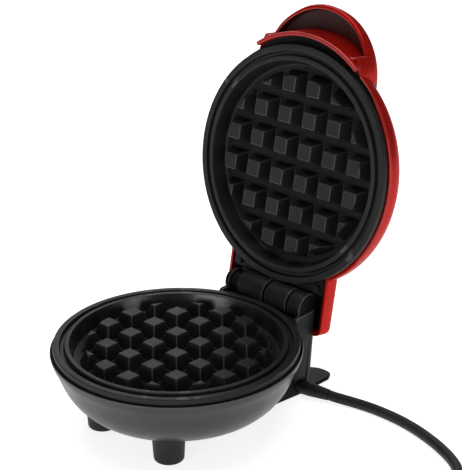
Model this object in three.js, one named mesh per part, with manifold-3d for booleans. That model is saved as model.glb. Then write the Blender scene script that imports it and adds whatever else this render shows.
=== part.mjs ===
// Mini waffle maker: round bowl base with a rear stand, hinged domed lid with a
// half-moon handle, two cast waffle plates, and a mains cord wound in a coil.
// Millimetres, +Z up, the hinge axis runs along X, the front of the base faces -Y.
// Shapes are first laid out in the plate frame: its origin is the centre of the
// lower plate, at the level of its rim. The lid is laid out closed and then opened.
import * as THREE from 'three';
import { mergeVertices } from 'three/addons/utils/BufferGeometryUtils.js';
import Module from 'manifold-3d';

// ---------------------------------------------------------------- driving sizes
const FLOOR = 46.5;              // floor to the lower plate's rim
const Y_CENTRE = 28.508;         // middle of the object's length, in the plate frame
const OPEN_DEG = 101.3;          // lid angle at rest, from closed
const AXIS_Y = 71.55;            // hinge axis behind the plate centre
const AXIS_Z = 1.63;             // hinge axis above the rim
const BARREL_R = 7.9;            // hinge knuckles
const GAP = 0.3;                 // clearance between separate pieces

const SHELL_R = 65.0;            // outer radius of both shells
const WALL = 2.2;
const PLATE_R = 63.3;            // plate rim
const RIDGE_Z = 0.4;             // raised sealing ridge above the rim
const CAVITY_Z = -8.3;           // waffle cavity floor
const PLATE_BACK = -11.5;        // back of the casting
const MATE = 1.1;                // closed: upper plate height = MATE - lower height
const PITCH = 16.83;             // waffle pegs
const PEG_TOP = 7.8;             // width across the top of a peg
const PEG_BASE = 12.2;
const PEG_Z = -0.8;              // top of the lower pegs
const FIELD_R = 46.8;            // the peg field ends on a cone of this radius at the peg tops

const STAND_X = 28.4;            // half width of the rear stand
const STAND_Y0 = 59.9;
const STAND_Y1 = 76.3;
const STAND_TOP = -0.5;
const FOOT_PLATE_Y = 90.4;       // rear end of the foot plate
const FOOT_X = 24.4;
const FOOT_Y = -30.6;

const HOOD_Y = -48.77;           // centre of the half-moon handle
const HOOD_R = 36.7;
const HOOD_Z0 = 13.9;            // rim of the handle
const HOOD_CEIL = 17.9;          // ceiling of the finger recess
const HOOD_TOP = 21.6;
const CHIN_Y = -11.3;            // centre of the curved front wall of the lid
const CHIN_R = 58.7;
const CHIN_X = 33.2;
const LIP_Z = 1.5;               // lower edge of that wall

const TAIL_X = 34.5;             // half width of the lid's rear tail
const TAIL_Y = 86.5;
const TAIL_Z0 = 4.7;
const TAIL_Z1 = 15.4;

const CORD_D = 5.6;
const COIL_MEAN_R = 30.0;        // middle of the coil's turns

const SEG = 44;

// ---------------------------------------------------------------- helpers
const wasm = await Module();
wasm.setup();

const V2 = (x, y) => new THREE.Vector2(x, y);
const V3 = (x, y, z) => new THREE.Vector3(x, y, z);

function toSolid(geometry) {
  const g = geometry.clone();
  g.deleteAttribute('normal');
  g.deleteAttribute('uv');
  const m = mergeVertices(g, 1e-4);
  const index = Array.from(m.index.array);
  const tris = [];
  for (let i = 0; i < index.length; i += 3) {
    const [a, b, c] = [index[i], index[i + 1], index[i + 2]];
    if (a !== b && b !== c && a !== c) tris.push(a, b, c);
  }
  const p = m.attributes.position.array;
  let volume = 0;
  for (let i = 0; i < tris.length; i += 3) {
    const a = tris[i] * 3, b = tris[i + 1] * 3, c = tris[i + 2] * 3;
    volume += p[a] * (p[b + 1] * p[c + 2] - p[b + 2] * p[c + 1])
      - p[a + 1] * (p[b] * p[c + 2] - p[b + 2] * p[c])
      + p[a + 2] * (p[b] * p[c + 1] - p[b + 1] * p[c]);
  }
  if (volume < 0) for (let i = 0; i < tris.length; i += 3) [tris[i + 1], tris[i + 2]] = [tris[i + 2], tris[i + 1]];
  return new wasm.Manifold(new wasm.Mesh({
    numProp: 3, vertProperties: new Float32Array(p), triVerts: new Uint32Array(tris),
  }));
}

function toGeometry(solid) {
  const mesh = solid.getMesh();
  const g = new THREE.BufferGeometry();
  const n = mesh.vertProperties.length / mesh.numProp;
  const pos = new Float32Array(n * 3);
  for (let i = 0; i < n; i++) for (let k = 0; k < 3; k++) pos[i * 3 + k] = mesh.vertProperties[i * mesh.numProp + k];
  g.setAttribute('position', new THREE.BufferAttribute(pos, 3));
  g.setIndex(Array.from(mesh.triVerts));
  g.computeVertexNormals();
  return g;
}

const union = (...s) => s.reduce((a, b) => a.add(b));
const cut = (a, ...s) => s.reduce((x, y) => x.subtract(y), a);

// turned piece: profile of [radius, height] about the Z axis through (x, y)
function lathe(profile, x = 0, y = 0, seg = SEG) {
  const g = new THREE.LatheGeometry(profile.map(([r, z]) => V2(r, z)), seg);
  g.rotateX(Math.PI / 2);
  g.translate(x, y, 0);
  return toSolid(g);
}

function prism(points, z0, z1) {
  const g = new THREE.ExtrudeGeometry(new THREE.Shape(points.map(([x, y]) => V2(x, y))), { depth: z1 - z0, bevelEnabled: false });
  g.translate(0, 0, z0);
  return toSolid(g);
}

function box(x0, x1, y0, y1, z0, z1) {
  const g = new THREE.BoxGeometry(x1 - x0, y1 - y0, z1 - z0);
  g.translate((x0 + x1) / 2, (y0 + y1) / 2, (z0 + z1) / 2);
  return toSolid(g);
}

// round bar between two points
function bar(a, b, r, seg = 24, r2 = r) {
  const d = b.clone().sub(a);
  const g = new THREE.CylinderGeometry(r2, r, d.length(), seg);
  g.applyQuaternion(new THREE.Quaternion().setFromUnitVectors(V3(0, 1, 0), d.clone().normalize()));
  const m = a.clone().add(b).multiplyScalar(0.5);
  g.translate(m.x, m.y, m.z);
  return toSolid(g);
}

function tube(points, d, sides, steps) {
  const curve = new THREE.CatmullRomCurve3(points, false, 'centripetal');
  const ring = [];
  for (let i = 0; i < sides; i++) {
    const a = (i + 0.5) / sides * Math.PI * 2;
    ring.push(V2(Math.cos(a) * d / 2, Math.sin(a) * d / 2));
  }
  return toSolid(new THREE.ExtrudeGeometry(new THREE.Shape(ring), { steps, extrudePath: curve, bevelEnabled: false }));
}

// rectangle with rounded corners [x0,y0,x1,y1], radii for the corners front-left, front-right, rear-right, rear-left
function rounded(x0, y0, x1, y1, r, n = 5) {
  const pts = [];
  const corner = (cx, cy, rad, a0) => {
    if (rad <= 0) { pts.push([cx, cy]); return; }
    for (let i = 0; i <= n; i++) {
      const a = a0 + (i / n) * Math.PI / 2;
      pts.push([cx + rad * Math.cos(a), cy + rad * Math.sin(a)]);
    }
  };
  corner(x0 + r[0], y0 + r[0], r[0], Math.PI);
  corner(x1 - r[1], y0 + r[1], r[1], Math.PI * 1.5);
  corner(x1 - r[2], y1 - r[2], r[2], 0);
  corner(x0 + r[3], y1 - r[3], r[3], Math.PI / 2);
  return pts;
}

const base = new THREE.Group();
const lid = new THREE.Group();

function add(group, name, solid, color, roughness, metalness) {
  const mesh = new THREE.Mesh(toGeometry(solid), new THREE.MeshStandardMaterial({ color, roughness, metalness }));
  mesh.name = name;
  group.add(mesh);
}

const RED = 0xa3120f, GREY = 0x57575a, BLACK = 0x17171a, COAT = 0x1d1d1f, STEEL = 0x9a9ca0, ALU = 0xb9bbbe, RUBBER = 0x242427;

// ---------------------------------------------------------------- base shell
const BOWL = [[43.5, -33.4], [50.2, -30.2], [54.5, -26], [57.4, -22], [61.1, -14], [64.5, -6.3], [65, -5.6], [65, -3.4]];
const bowlOuter = [[0, -34.8], [36, -34.8], ...BOWL];
const bowlInner = [[62.7, -3.4], [62.7, -6.4], [58.9, -14.4], [55.2, -22], [48.8, -28.9], [35.4, -32.6], [0, -32.6]];
const bowlGrown = () => lathe([[0, -35.1], [36, -35.1], [43.7, -33.7], [50.5, -30.5], [54.9, -26.2], [57.8, -22], [61.5, -13.9], [64.9, -6.3], [65.35, -5.7], [65.35, 0], [0, 0]]);
const fixings = [[FOOT_X, FOOT_Y], [-FOOT_X, FOOT_Y], [0, 33]];
{
  let s = lathe([...bowlOuter, ...bowlInner]);
  s = cut(s, box(-6, 6, 50, 62, -31, -23));
  for (const [x, y] of fixings) s = cut(s, bar(V3(x, y, -40), V3(x, y, -24), 1.9, 12));
  add(base, 'base_shell', s, GREY, 0.42, 0.35);
}

// ---------------------------------------------------------------- rear stand and its foot plate
// flat plate with two rounded tabs at its rear and a shallow notch between them
const footPlate = (x, y0, y1, z0, z1) => prism([
  [-x, y0], [x, y0], [x, y1 - 3.4], [x - 0.4, y1 - 2.0], [x - 1.5, y1 - 0.9], [x - 3.4, y1 - 0.2], [x - 7, y1], [x - 10.4, y1 - 0.6], [x - 13.6, y1 - 2.6], [x - 17.2, y1 - 5.6], [x - 20, y1 - 6.6],
  [-x + 20, y1 - 6.6], [-x + 17.2, y1 - 5.6], [-x + 13.6, y1 - 2.6], [-x + 10.4, y1 - 0.6], [-x + 7, y1], [-x + 3.4, y1 - 0.2], [-x + 1.5, y1 - 0.9], [-x + 0.4, y1 - 2.0], [-x, y1 - 3.4],
], z0, z1);
const axis = (x) => V3(x, AXIS_Y, AXIS_Z);
{
  const outer = rounded(-STAND_X, STAND_Y0, STAND_X, STAND_Y1, [0.8, 0.8, 5, 5]);
  const inner = rounded(-STAND_X + WALL, STAND_Y0 - 2, STAND_X - WALL, STAND_Y1 - WALL, [0, 0, 2.8, 2.8]);
  let s = cut(prism(outer, -45.1, STAND_TOP), prism(inner, -43.9, 2));
  s = union(s, footPlate(STAND_X + 0.4, 68.2, FOOT_PLATE_Y, -45.1, -43.9));
  // low front corners of the side walls, and the space that the black cover fills
  s = cut(s, box(-40, 40, 50, 68, -50, -37), box(-26.4, 26.4, 50, 69.8, -50, -43.6));
  // scoop for the hinge knuckles
  s = cut(s, bar(axis(-26.2), axis(26.2), BARREL_R + 0.6, 32));
  // rounded upper front corners
  for (const side of [-1, 1]) {
    const x0 = side > 0 ? 24 : -32, x1 = side > 0 ? 32 : -24;
    s = cut(s, cut(box(x0, x1, 58, 63, -3.6, 1), bar(V3(x0 - 1, 63, -3.6), V3(x1 + 1, 63, -3.6), 3.1, 32)));
  }
  add(base, 'rear_stand', s, GREY, 0.42, 0.35);
}

// ---------------------------------------------------------------- black cover under the rear of the base
const EXIT = V3(28.8, 63.9, -41.5);
const EXIT_DIR = V3(0.965, 0.255, -0.055).normalize();
{
  const outline = [[-25.3, 38], [25.3, 38], [28.2, 66], [28.2, 67.7], [-28.2, 67.7], [-28.2, 66]];
  const inside = [[-23.4, 40], [23.4, 40], [26.1, 66], [26.1, 69.2], [-26.1, 69.2], [-26.1, 66]];
  let s = cut(prism(outline, -46.5, -37.3), prism(inside, -44.7, -20));
  s = union(s, cut(prism([[-25.3, 38], [25.3, 38], [27.5, 59.2], [-27.5, 59.2]], -40, -30), prism([[-23.4, 40], [23.4, 40], [25.4, 59.2], [-25.4, 59.2]], -45, -20), box(-40, 40, 45.6, 60, -36.3, -20)));
  for (const x of [-21, 21]) s = union(s, bar(V3(x, 52, -45.5), V3(x, 52, -41.5), 3.8, 16));
  s = union(s, footPlate(STAND_X, 66, FOOT_PLATE_Y - 0.4, -46.5, -45.4));
  s = cut(s, bowlGrown());
  s = cut(s, bar(EXIT.clone().addScaledVector(EXIT_DIR, -8), EXIT.clone().addScaledVector(EXIT_DIR, 6), 3.1, 20));
  for (const x of [-21, 21]) s = cut(s, bar(V3(x, 52, -50), V3(x, 52, -43.9), 2.8, 16), bar(V3(x, 52, -50), V3(x, 52, -40), 1.75, 12));
  add(base, 'base_cover', s, BLACK, 0.55, 0);
}

// ---------------------------------------------------------------- hinge bracket of the base
{
  let s = union(
    box(-27.9, 27.9, 46, 59.3, -36, -4.2),
    box(-25.9, 25.9, 59, 61.8, -36, -4.2),
    box(-25.9, -18.1, 59.2, 71.6, -14, -3),
    box(18.1, 25.9, 59.2, 71.6, -14, -3),
    bar(axis(-26), axis(-18.1), 5.2, 32),
    bar(axis(-19.4), axis(-18.1), 6.6, 32),
    bar(axis(18.1), axis(25.9), BARREL_R, 40),
    cut(bar(axis(-28.2), axis(-25.4), 6.4, 32), box(-30, -20, 50, 90, -20, STAND_TOP + GAP)),
    cut(bar(axis(25.5), axis(26.9), BARREL_R, 40), box(20, 30, 50, 90, -20, STAND_TOP + GAP)),
  );
  s = cut(s, bowlGrown(), lathe([[0, -8], [65.8, -8], [65.8, 3], [0, 3]]));
  s = cut(s, box(-7, 7, 40, 70, -32, -22));
  for (const x of [-21, 21]) s = cut(s, bar(V3(x, 52, -40), V3(x, 52, -29.6), 1.75, 12));
  s = cut(s, bar(axis(-17.9), axis(17.9), BARREL_R + 0.5, 40));
  // bore for the pin on the right, channel for the leads and seat of the bushing on the left
  s = cut(s, bar(axis(15), axis(25.4), 2.3, 16), bar(axis(-21), axis(-15), 3.8, 16), bar(axis(-25.3), axis(-15), 2.8, 12));
  s = cut(s, bar(V3(-23.1, AXIS_Y, -20), V3(-23.1, AXIS_Y, AXIS_Z), 2.3, 12));
  add(base, 'hinge_bracket', s, BLACK, 0.5, 0);
}
add(base, 'hinge_pin', bar(axis(11.3), axis(25.1), 2.0, 16), STEEL, 0.3, 1);
add(base, 'hinge_bushing', cut(bar(axis(-20.7), axis(-12.3), 3.5, 16), bar(axis(-24), axis(-10), 2.3, 12)), STEEL, 0.35, 1);

// ---------------------------------------------------------------- front feet
for (const [name, x] of [['front_foot_right', FOOT_X], ['front_foot_left', -FOOT_X]]) {
  let s = lathe([[0, -46.5], [6.9, -46.5], [7.6, -45.6], [8.5, -28], [0, -28]], x, FOOT_Y, 24);
  s = cut(s, bowlGrown(), bar(V3(x, FOOT_Y, -48), V3(x, FOOT_Y, -39), 4.2, 20), bar(V3(x, FOOT_Y, -48), V3(x, FOOT_Y, -20), 1.9, 12));
  add(base, name, s, RUBBER, 0.7, 0);
}
for (const [name, x, y, head, z0] of [['foot_screw_right', FOOT_X, FOOT_Y, 3.5, -41.3], ['foot_screw_left', -FOOT_X, FOOT_Y, 3.5, -41.3], ['rear_body_screw', 0, 33, 3.5, -37.4]]) {
  add(base, name, union(bar(V3(x, y, z0), V3(x, y, z0 + 2), head, 12), bar(V3(x, y, z0 + 1), V3(x, y, -15), 1.5, 8)), STEEL, 0.35, 1);
}
for (const [name, x] of [['cover_screw_right', 21], ['cover_screw_left', -21]]) {
  add(base, name, union(bar(V3(x, 52, -45.8), V3(x, 52, -44.2), 2.45, 12), bar(V3(x, 52, -45), V3(x, 52, -30), 1.4, 8)), STEEL, 0.35, 1);
}

// ---------------------------------------------------------------- waffle plates
function peg(x, y, z) {
  const base0 = PEG_BASE / 2, top = PEG_TOP / 2, h = z - CAVITY_Z;
  const g = new THREE.CylinderGeometry(top * Math.SQRT2, base0 * Math.SQRT2, h, 4, 1);
  g.rotateY(Math.PI / 4);
  g.rotateX(Math.PI / 2);
  g.translate(x, y, CAVITY_Z + h / 2);
  return toSolid(g);
}
function waffleCasting(fix) {
  let s = lathe([
    [0, CAVITY_Z], [53.1, CAVITY_Z], [55.0, RIDGE_Z], [57.2, RIDGE_Z], [57.6, -2.2], [59.5, -2.2], [60.0, 0], [62.9, 0],
    [PLATE_R, -0.4], [PLATE_R, -3.1], [57.0, -3.9], [55.4, PLATE_BACK], [0, PLATE_BACK],
  ]);
  const inside = lathe([[0, CAVITY_Z - 1.5], [FIELD_R + 3, CAVITY_Z - 1.5], [FIELD_R, PEG_Z], [FIELD_R, 0.2], [0, 0.2]]);
  let pegs = null;
  for (let i = -3; i < 3; i++) for (let j = -3; j < 3; j++) {
    const x = (i + 0.5) * PITCH, y = (j + 0.5) * PITCH;
    if (Math.hypot(x, y) > 50) continue;
    const p = union(peg(x, y, PEG_Z), box(x - PEG_BASE / 2, x + PEG_BASE / 2, y - PEG_BASE / 2, y + PEG_BASE / 2, CAVITY_Z - 1, CAVITY_Z));
    pegs = pegs ? pegs.add(p) : p;
  }
  s = union(s, pegs.intersect(inside));
  for (const [x, y, z] of fix) {
    s = union(s, bar(V3(x, y, PLATE_BACK + 0.5), V3(x, y, z), 3.5, 16));
    s = cut(s, bar(V3(x, y, z - 1), V3(x, y, -14), 1.9, 12));
  }
  return s;
}
add(base, 'lower_plate', waffleCasting(fixings.map(([x, y]) => [x, y, -21.2])), COAT, 0.45, 0.2);

// ---------------------------------------------------------------- parts under the lower plate
function ringElement(r, z, dir) {
  // tubular heater bent to a ring, with both cold ends turned away from the plate
  const pts = [];
  const a0 = 112, a1 = 428;
  const e0 = (a0 - 3) * Math.PI / 180, e1 = (a1 + 3) * Math.PI / 180;
  pts.push(V3(r * 0.93 * Math.cos(e0), r * 0.93 * Math.sin(e0), z + dir * 6));
  for (let a = a0 + 4; a <= a1 - 4; a += 14) pts.push(V3(r * Math.cos(a * Math.PI / 180), r * Math.sin(a * Math.PI / 180), z));
  pts.push(V3(r * 0.93 * Math.cos(e1), r * 0.93 * Math.sin(e1), z + dir * 6));
  return tube(pts, 6.0, 8, 28);
}
add(base, 'lower_heating_element', ringElement(47, PLATE_BACK - 3.9, -1), STEEL, 0.45, 0.9);
{
  let s = lathe([[9, -23.2], [43, -23.2], [45, -21.4], [45.6, -21.9], [43.3, -23.8], [9, -23.8], [9, -23.2]], 0, 0, 28);
  s = cut(s, box(-24, 24, 36.5, 60, -30, -15));
  for (const [x, y] of fixings) s = cut(s, bar(V3(x, y, -30), V3(x, y, -20), 2.0, 12));
  add(base, 'lower_heat_shield', s, ALU, 0.35, 0.9);
}
add(base, 'thermostat', union(bar(V3(0, 0, -11.9), V3(0, 0, -17.4), 6.6, 20), box(-2, 2, -9.5, 9.5, -17.4, -15.6)), STEEL, 0.5, 0.6);
add(base, 'terminal_block', cut(box(-8, 8, 63.5, 71.5, -33, -24.5), bar(V3(-4, 71, -40), V3(-4, 71, -20), 0.9, 8), bar(V3(4, 71, -40), V3(4, 71, -20), 0.9, 8)), 0xd8d3c4, 0.6, 0);
add(base, 'thermostat_lead', tube([V3(0, 63.0, -27.2), V3(0.5, 56, -26.5), V3(5, 46, -25.4), V3(8, 34, -26.4), V3(5, 16, -27), V3(1, 5, -25.5), V3(0, 0.6, -21.8), V3(0, 0, -18.3)], 2.4, 8, 18), 0x8a2a22, 0.6, 0);
add(base, 'hinge_lead', tube([V3(-8.7, 68, -29), V3(-14, 69, -28.2), V3(-20.5, 71, -24), V3(-23.1, AXIS_Y, -16), V3(-23.1, AXIS_Y, -4), V3(-22.8, AXIS_Y, -0.4), V3(-21.4, AXIS_Y, 1.4), V3(-18.6, AXIS_Y, AXIS_Z), V3(-9.4, AXIS_Y, AXIS_Z)], 2.2, 8, 20), 0x8a2a22, 0.6, 0);

// ---------------------------------------------------------------- cord entry
const sleeveStart = EXIT.clone().addScaledVector(EXIT_DIR, -5.9);
const sleeveEnd = EXIT.clone().addScaledVector(EXIT_DIR, 16.8);
{
  const collar0 = EXIT.clone().addScaledVector(EXIT_DIR, -5.9), collar1 = EXIT.clone().addScaledVector(EXIT_DIR, -4.95);
  const s = union(bar(sleeveStart, EXIT.clone().addScaledVector(EXIT_DIR, 1.5), 2.7, 12), bar(collar0, collar1, 3.2, 12), bar(EXIT.clone().addScaledVector(EXIT_DIR, 0.95), sleeveEnd, 3.8, 16, 3.0));
  add(base, 'cord_bushing', s, BLACK, 0.6, 0);
}
const stubEnd = V3(11.5, 61.2, -40.6);
add(base, 'cord_stub', tube([sleeveStart.clone().addScaledVector(EXIT_DIR, -0.35), sleeveStart.clone().addScaledVector(EXIT_DIR, -3), V3(16, 61.6, -40.8), stubEnd], CORD_D - 0.6, 8, 6), BLACK, 0.6, 0);
add(base, 'cord_clamp', cut(union(box(12.8, 16.6, 53.8, 69, -44.3, -42.4), box(12.8, 16.6, 57.6, 65.6, -43, -37.7)), bar(V3(12, 61.35, -40.8), V3(19, 61.95, -40.8), 3.0, 16), box(12, 19, 58.5, 64.8, -45, -41)), BLACK, 0.6, 0);
for (const [name, y] of [['clamp_screw_a', 55.6], ['clamp_screw_b', 67.4]]) add(base, name, bar(V3(14.7, y, -42.1), V3(14.7, y, -40.2), 1.6, 12), STEEL, 0.35, 1);
add(base, 'live_lead', tube([V3(10.7, 60.4, -39.7), V3(6, 62.5, -38.5), V3(4, 66, -36.5), V3(4, 67.5, -33.7)], 2.0, 8, 8), 0x5a3a22, 0.6, 0);
add(base, 'neutral_lead', tube([V3(10.7, 62.0, -42.0), V3(4, 62.0, -41.6), V3(-3, 65, -38.5), V3(-4, 67.5, -33.7)], 2.0, 8, 8), 0x2a3f6a, 0.6, 0);

// ---------------------------------------------------------------- lid shell (laid out closed)
const DOME = [[64.9, 4.9], [65, 8.9], [63.4, 13.6], [60.7, 16.7], [57.1, 19.2], [47.9, 24.2], [36.5, 28.9], [24, 33.6], [12, 36.4], [0, 37.3]];
const DOME_IN = [[62.7, 8.6], [60.9, 13.0], [55.6, 17.4], [46.8, 22.2], [35.6, 26.8], [23.3, 31.4], [11.7, 34.1], [0, 35]];
const arc = (cy, r, a0, a1, n) => Array.from({ length: n + 1 }, (_, i) => {
  const a = (a0 + (a1 - a0) * i / n) * Math.PI / 180;
  return [r * Math.sin(a), cy - r * Math.cos(a)];
});
{
  const half = Math.asin(CHIN_X / CHIN_R) * 180 / Math.PI;
  const domeOuter = lathe([[0, 4.9], ...DOME]);
  const domeInner = lathe([[0, 0], [62.6, 0], ...DOME_IN]);
  const hood = lathe([[0, HOOD_Z0], [HOOD_R, HOOD_Z0], [36.3, 15.9], [35.8, 18.2], [34.6, 20.2], [32.0, 21.3], [28, HOOD_TOP], [0, HOOD_TOP]], 0, HOOD_Y, 48);
  const chinOuter = prism([...arc(CHIN_Y, CHIN_R + 0.5, -half, half, 16), [CHIN_X, -20], [-CHIN_X, -20]], 4.9, HOOD_CEIL + 0.2);
  const lip = cut(prism([...arc(CHIN_Y, CHIN_R, -half, half, 16), [CHIN_X, -20], [-CHIN_X, -20]], LIP_Z, 5.2), prism([...arc(CHIN_Y, CHIN_R - 2.1, -half - 6, half + 6, 18), [40, -20], [-40, -20]], 0, 5.3));
  const recess = cut(lathe([[0, 10], [34.3, 10], [34.3, 15], [33.6, HOOD_CEIL], [0, HOOD_CEIL]], 0, HOOD_Y, 48), chinOuter);
  const tailOuter = cut(
    prism(rounded(-TAIL_X, 20, TAIL_X, TAIL_Y, [0, 0, 4, 4]), TAIL_Z0, TAIL_Z1),
    ...[-1, 1].map((side) => {
      const x0 = side > 0 ? 30.5 : -40, x1 = side > 0 ? 40 : -30.5;
      return cut(box(x0, x1, 40, 100, 11.4, 20), bar(V3(side * 30.5, 39, 11.4), V3(side * 30.5, 101, 11.4), 4.0, 24));
    }),
    cut(box(-40, 40, 81.5, 100, 10.4, 20), bar(V3(-41, 81.5, 10.4), V3(41, 81.5, 10.4), 5.0, 32)),
  );
  const tailInner = union(
    box(-TAIL_X + 2.3, TAIL_X - 2.3, 20, TAIL_Y - 2.3, 0, 9),
    cut(box(-TAIL_X + 2.3, TAIL_X - 2.3, 20, TAIL_Y - 2.3, 8.9, TAIL_Z1 - 2.3), cut(box(-40, 40, 81.4, 100, 10.2, 20), bar(V3(-41, 81.4, 10.2), V3(41, 81.4, 10.2), 2.8, 24))),
  );
  let s = union(cut(union(domeOuter, tailOuter, hood, chinOuter), recess), lip);
  s = cut(s, domeInner, tailInner);
  s = cut(s, box(-28.9, 28.9, 80, 90, 0, 10.1));       // end of the tail clears the stand
  s = cut(s, bar(V3(0, 0, 30), V3(0, 0, 40), 3.1, 20));                  // indicator
  add(lid, 'lid_shell', s, RED, 0.25, 0.55);
}

// ---------------------------------------------------------------- inner hinge leaf of the lid
{
  let s = box(-31.9, 31.9, 44, 72, 5.2, 7.6);
  s = cut(s, lathe([[0, 0], [63.9, 0], [63.9, 12], [0, 12]]), ...[-1, 1].map((k) => bar(axis(k * 17.8), axis(k * 40), BARREL_R + 0.7, 40)));
  s = union(s, bar(axis(-17.7), axis(17.7), BARREL_R, 40), box(-17.7, 17.7, 66, 70, 2, 7.6));
  s = cut(s, lathe([[0, -8], [63.6, -8], [63.6, 12], [0, 12]]));
  s = cut(s, cut(bar(axis(0), axis(1.2), 12, 40), bar(axis(-1), axis(2.2), 5.8, 40), box(-2, 3, 60, 84, 4.5, 20)));
  s = cut(s, bar(axis(10.9), axis(20), 2.3, 16), bar(axis(-20), axis(-11.9), 3.8, 16), bar(axis(-14), axis(3), 2.9, 12));
  s = cut(s, bar(V3(0, AXIS_Y, AXIS_Z), V3(0, AXIS_Y, 14), 3.0, 12));
  for (const x of [-28, 28]) s = cut(s, bar(V3(x, 61, 0), V3(x, 61, 20), 1.8, 12));
  add(lid, 'hinge_leaf', s, BLACK, 0.5, 0);
}
for (const [name, x] of [['leaf_screw_right', 28], ['leaf_screw_left', -28]]) {
  add(lid, name, union(bar(V3(x, 61, 3.4), V3(x, 61, 4.9), 2.2, 12), bar(V3(x, 61, 4.5), V3(x, 61, 10.5), 1.4, 8)), STEEL, 0.35, 1);
}

// ---------------------------------------------------------------- upper plate and the parts above it
const mirror = (solid) => {
  const g = toGeometry(solid);
  g.scale(1, 1, -1);
  g.translate(0, 0, MATE);
  return toSolid(g);
};
const lidFix = [[0, -31], [26.8, 15.5], [-26.8, 15.5]];
add(lid, 'upper_plate', mirror(waffleCasting(lidFix.map(([x, y]) => [x, y, -19.0]))), COAT, 0.45, 0.2);
add(lid, 'upper_heating_element', ringElement(43.5, MATE - PLATE_BACK + 3.9, 0.6), STEEL, 0.45, 0.9);
{
  let s = lathe([[9, 21.0], [39, 21.0], [39.2, 21.6], [9, 21.6], [9, 21.0]], 0, 0, 28);
  s = cut(s, box(-20, 20, 30, 60, 15, 30));
  for (const [x, y] of lidFix) s = cut(s, bar(V3(x, y, 15), V3(x, y, 30), 2.0, 12));
  add(lid, 'upper_heat_shield', s, ALU, 0.35, 0.9);
}
lidFix.forEach(([x, y], i) => add(lid, 'plate_screw_' + 'abc'[i], union(bar(V3(x, y, 21.9), V3(x, y, 23.7), 3.0, 12), bar(V3(x, y, 22.5), V3(x, y, 15.5), 1.4, 8)), STEEL, 0.35, 1));
add(lid, 'thermal_fuse', bar(V3(-7, 22, 14.9), V3(7, 22, 14.9), 2.0, 12), 0xc9b37a, 0.5, 0.3);
add(lid, 'lid_lead', tube([V3(-9.1, AXIS_Y, AXIS_Z), V3(-3.6, AXIS_Y, AXIS_Z), V3(-0.9, AXIS_Y, 2.9), V3(0, AXIS_Y, 5.8), V3(0, AXIS_Y - 0.6, 9.0), V3(0, 67, 10.5), V3(0, 61, 11.0), V3(0, 57.6, 13.0), V3(0, 54.5, 15.3), V3(0, 46, 16.6), V3(0, 36, 17), V3(0, 28, 16.5), V3(0, 24.5, 15)], 1.8, 8, 30), 0x8a2a22, 0.6, 0);
add(lid, 'indicator_lens', lathe([[0, 33.6], [4.4, 33.6], [4.4, 34.3], [2.75, 34.4], [2.75, 37.6], [1.6, 38.0], [0, 38.1]], 0, 0, 20), 0xd9e6ee, 0.15, 0);
add(lid, 'indicator_lamp', lathe([[0, 26.5], [2.2, 26.5], [2.2, 32], [1.2, 33], [0, 33.2]], 0, 0, 16), 0xe8e2d0, 0.3, 0);

// ---------------------------------------------------------------- mains cord
const FLOOR_Z = -FLOOR;
const CORD_Z = FLOOR_Z + CORD_D / 2 + 0.02;
const cordStart = sleeveEnd.clone().addScaledVector(EXIT_DIR, 0.3);
const cordNext = sleeveEnd.clone().addScaledVector(EXIT_DIR, 4).setZ(-42.75);
const ROUTE = [[52.5, 71.0, 0.3], [60.5, 73.1, 0], [69, 74.3, 0], [78, 74.7, 0], [87, 74.4, 0], [95.1, 73.4, 0], [102.7, 71.9, 0], [109.6, 70.0, 0],
  [116.2, 67.9, 0], [122.2, 65.5, 0], [128.1, 62.8, 0], [133.4, 59.8, 0], [138.2, 56.2, 0], [143.4, 49.8, 0.2], [146.5, 41.3, 0.4], [146.5, 32.3, 0.6], [143.4, 23.8, 0.8], [139.0, 18.1, 0.9], [134.2, 12.6, 0.9]]
  .map(([x, y, lift]) => V3(x, y, CORD_Z + lift));
add(base, 'power_cord', tube([cordStart, cordNext, ...ROUTE], CORD_D, 10, 24), BLACK, 0.55, 0);

// the rest of the cord, wound in a coil of two layers and tied
const COIL = V3(142.6, -26, FLOOR_Z);
const COIL_LIFT = 0.9;
const COIL_IN = COIL_MEAN_R - CORD_D, COIL_OUT = COIL_MEAN_R + CORD_D, COIL_H = 2 * CORD_D;
const placed = (solid, x, y, z, deg = 0) => {
  const g = toGeometry(solid);
  g.rotateZ(deg * Math.PI / 180);
  g.translate(x, y, z);
  return toSolid(g);
};
add(base, 'cord_coil', placed(lathe([
  [COIL_IN, 1.4], [COIL_IN + 1.4, 0], [COIL_OUT - 1.4, 0], [COIL_OUT, 1.4], [COIL_OUT, COIL_H - 3.5], [COIL_OUT - 2.4, COIL_H],
  [COIL_IN + 2.4, COIL_H], [COIL_IN, COIL_H - 3.5], [COIL_IN, 1.4],
], 0, 0, 32), COIL.x, COIL.y, COIL.z + COIL_LIFT), BLACK, 0.55, 0);
add(base, 'cord_tie', placed(cut(box(COIL_IN - 1.5, COIL_OUT + 1.3, -3.5, 3.5, 0.02, COIL_H + COIL_LIFT + 1.1), box(COIL_IN - 0.7, COIL_OUT + 0.35, -4, 4, 0.55, COIL_H + COIL_LIFT + 0.4)),
  COIL.x, COIL.y, COIL.z, 250), BLACK, 0.8, 0);

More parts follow.
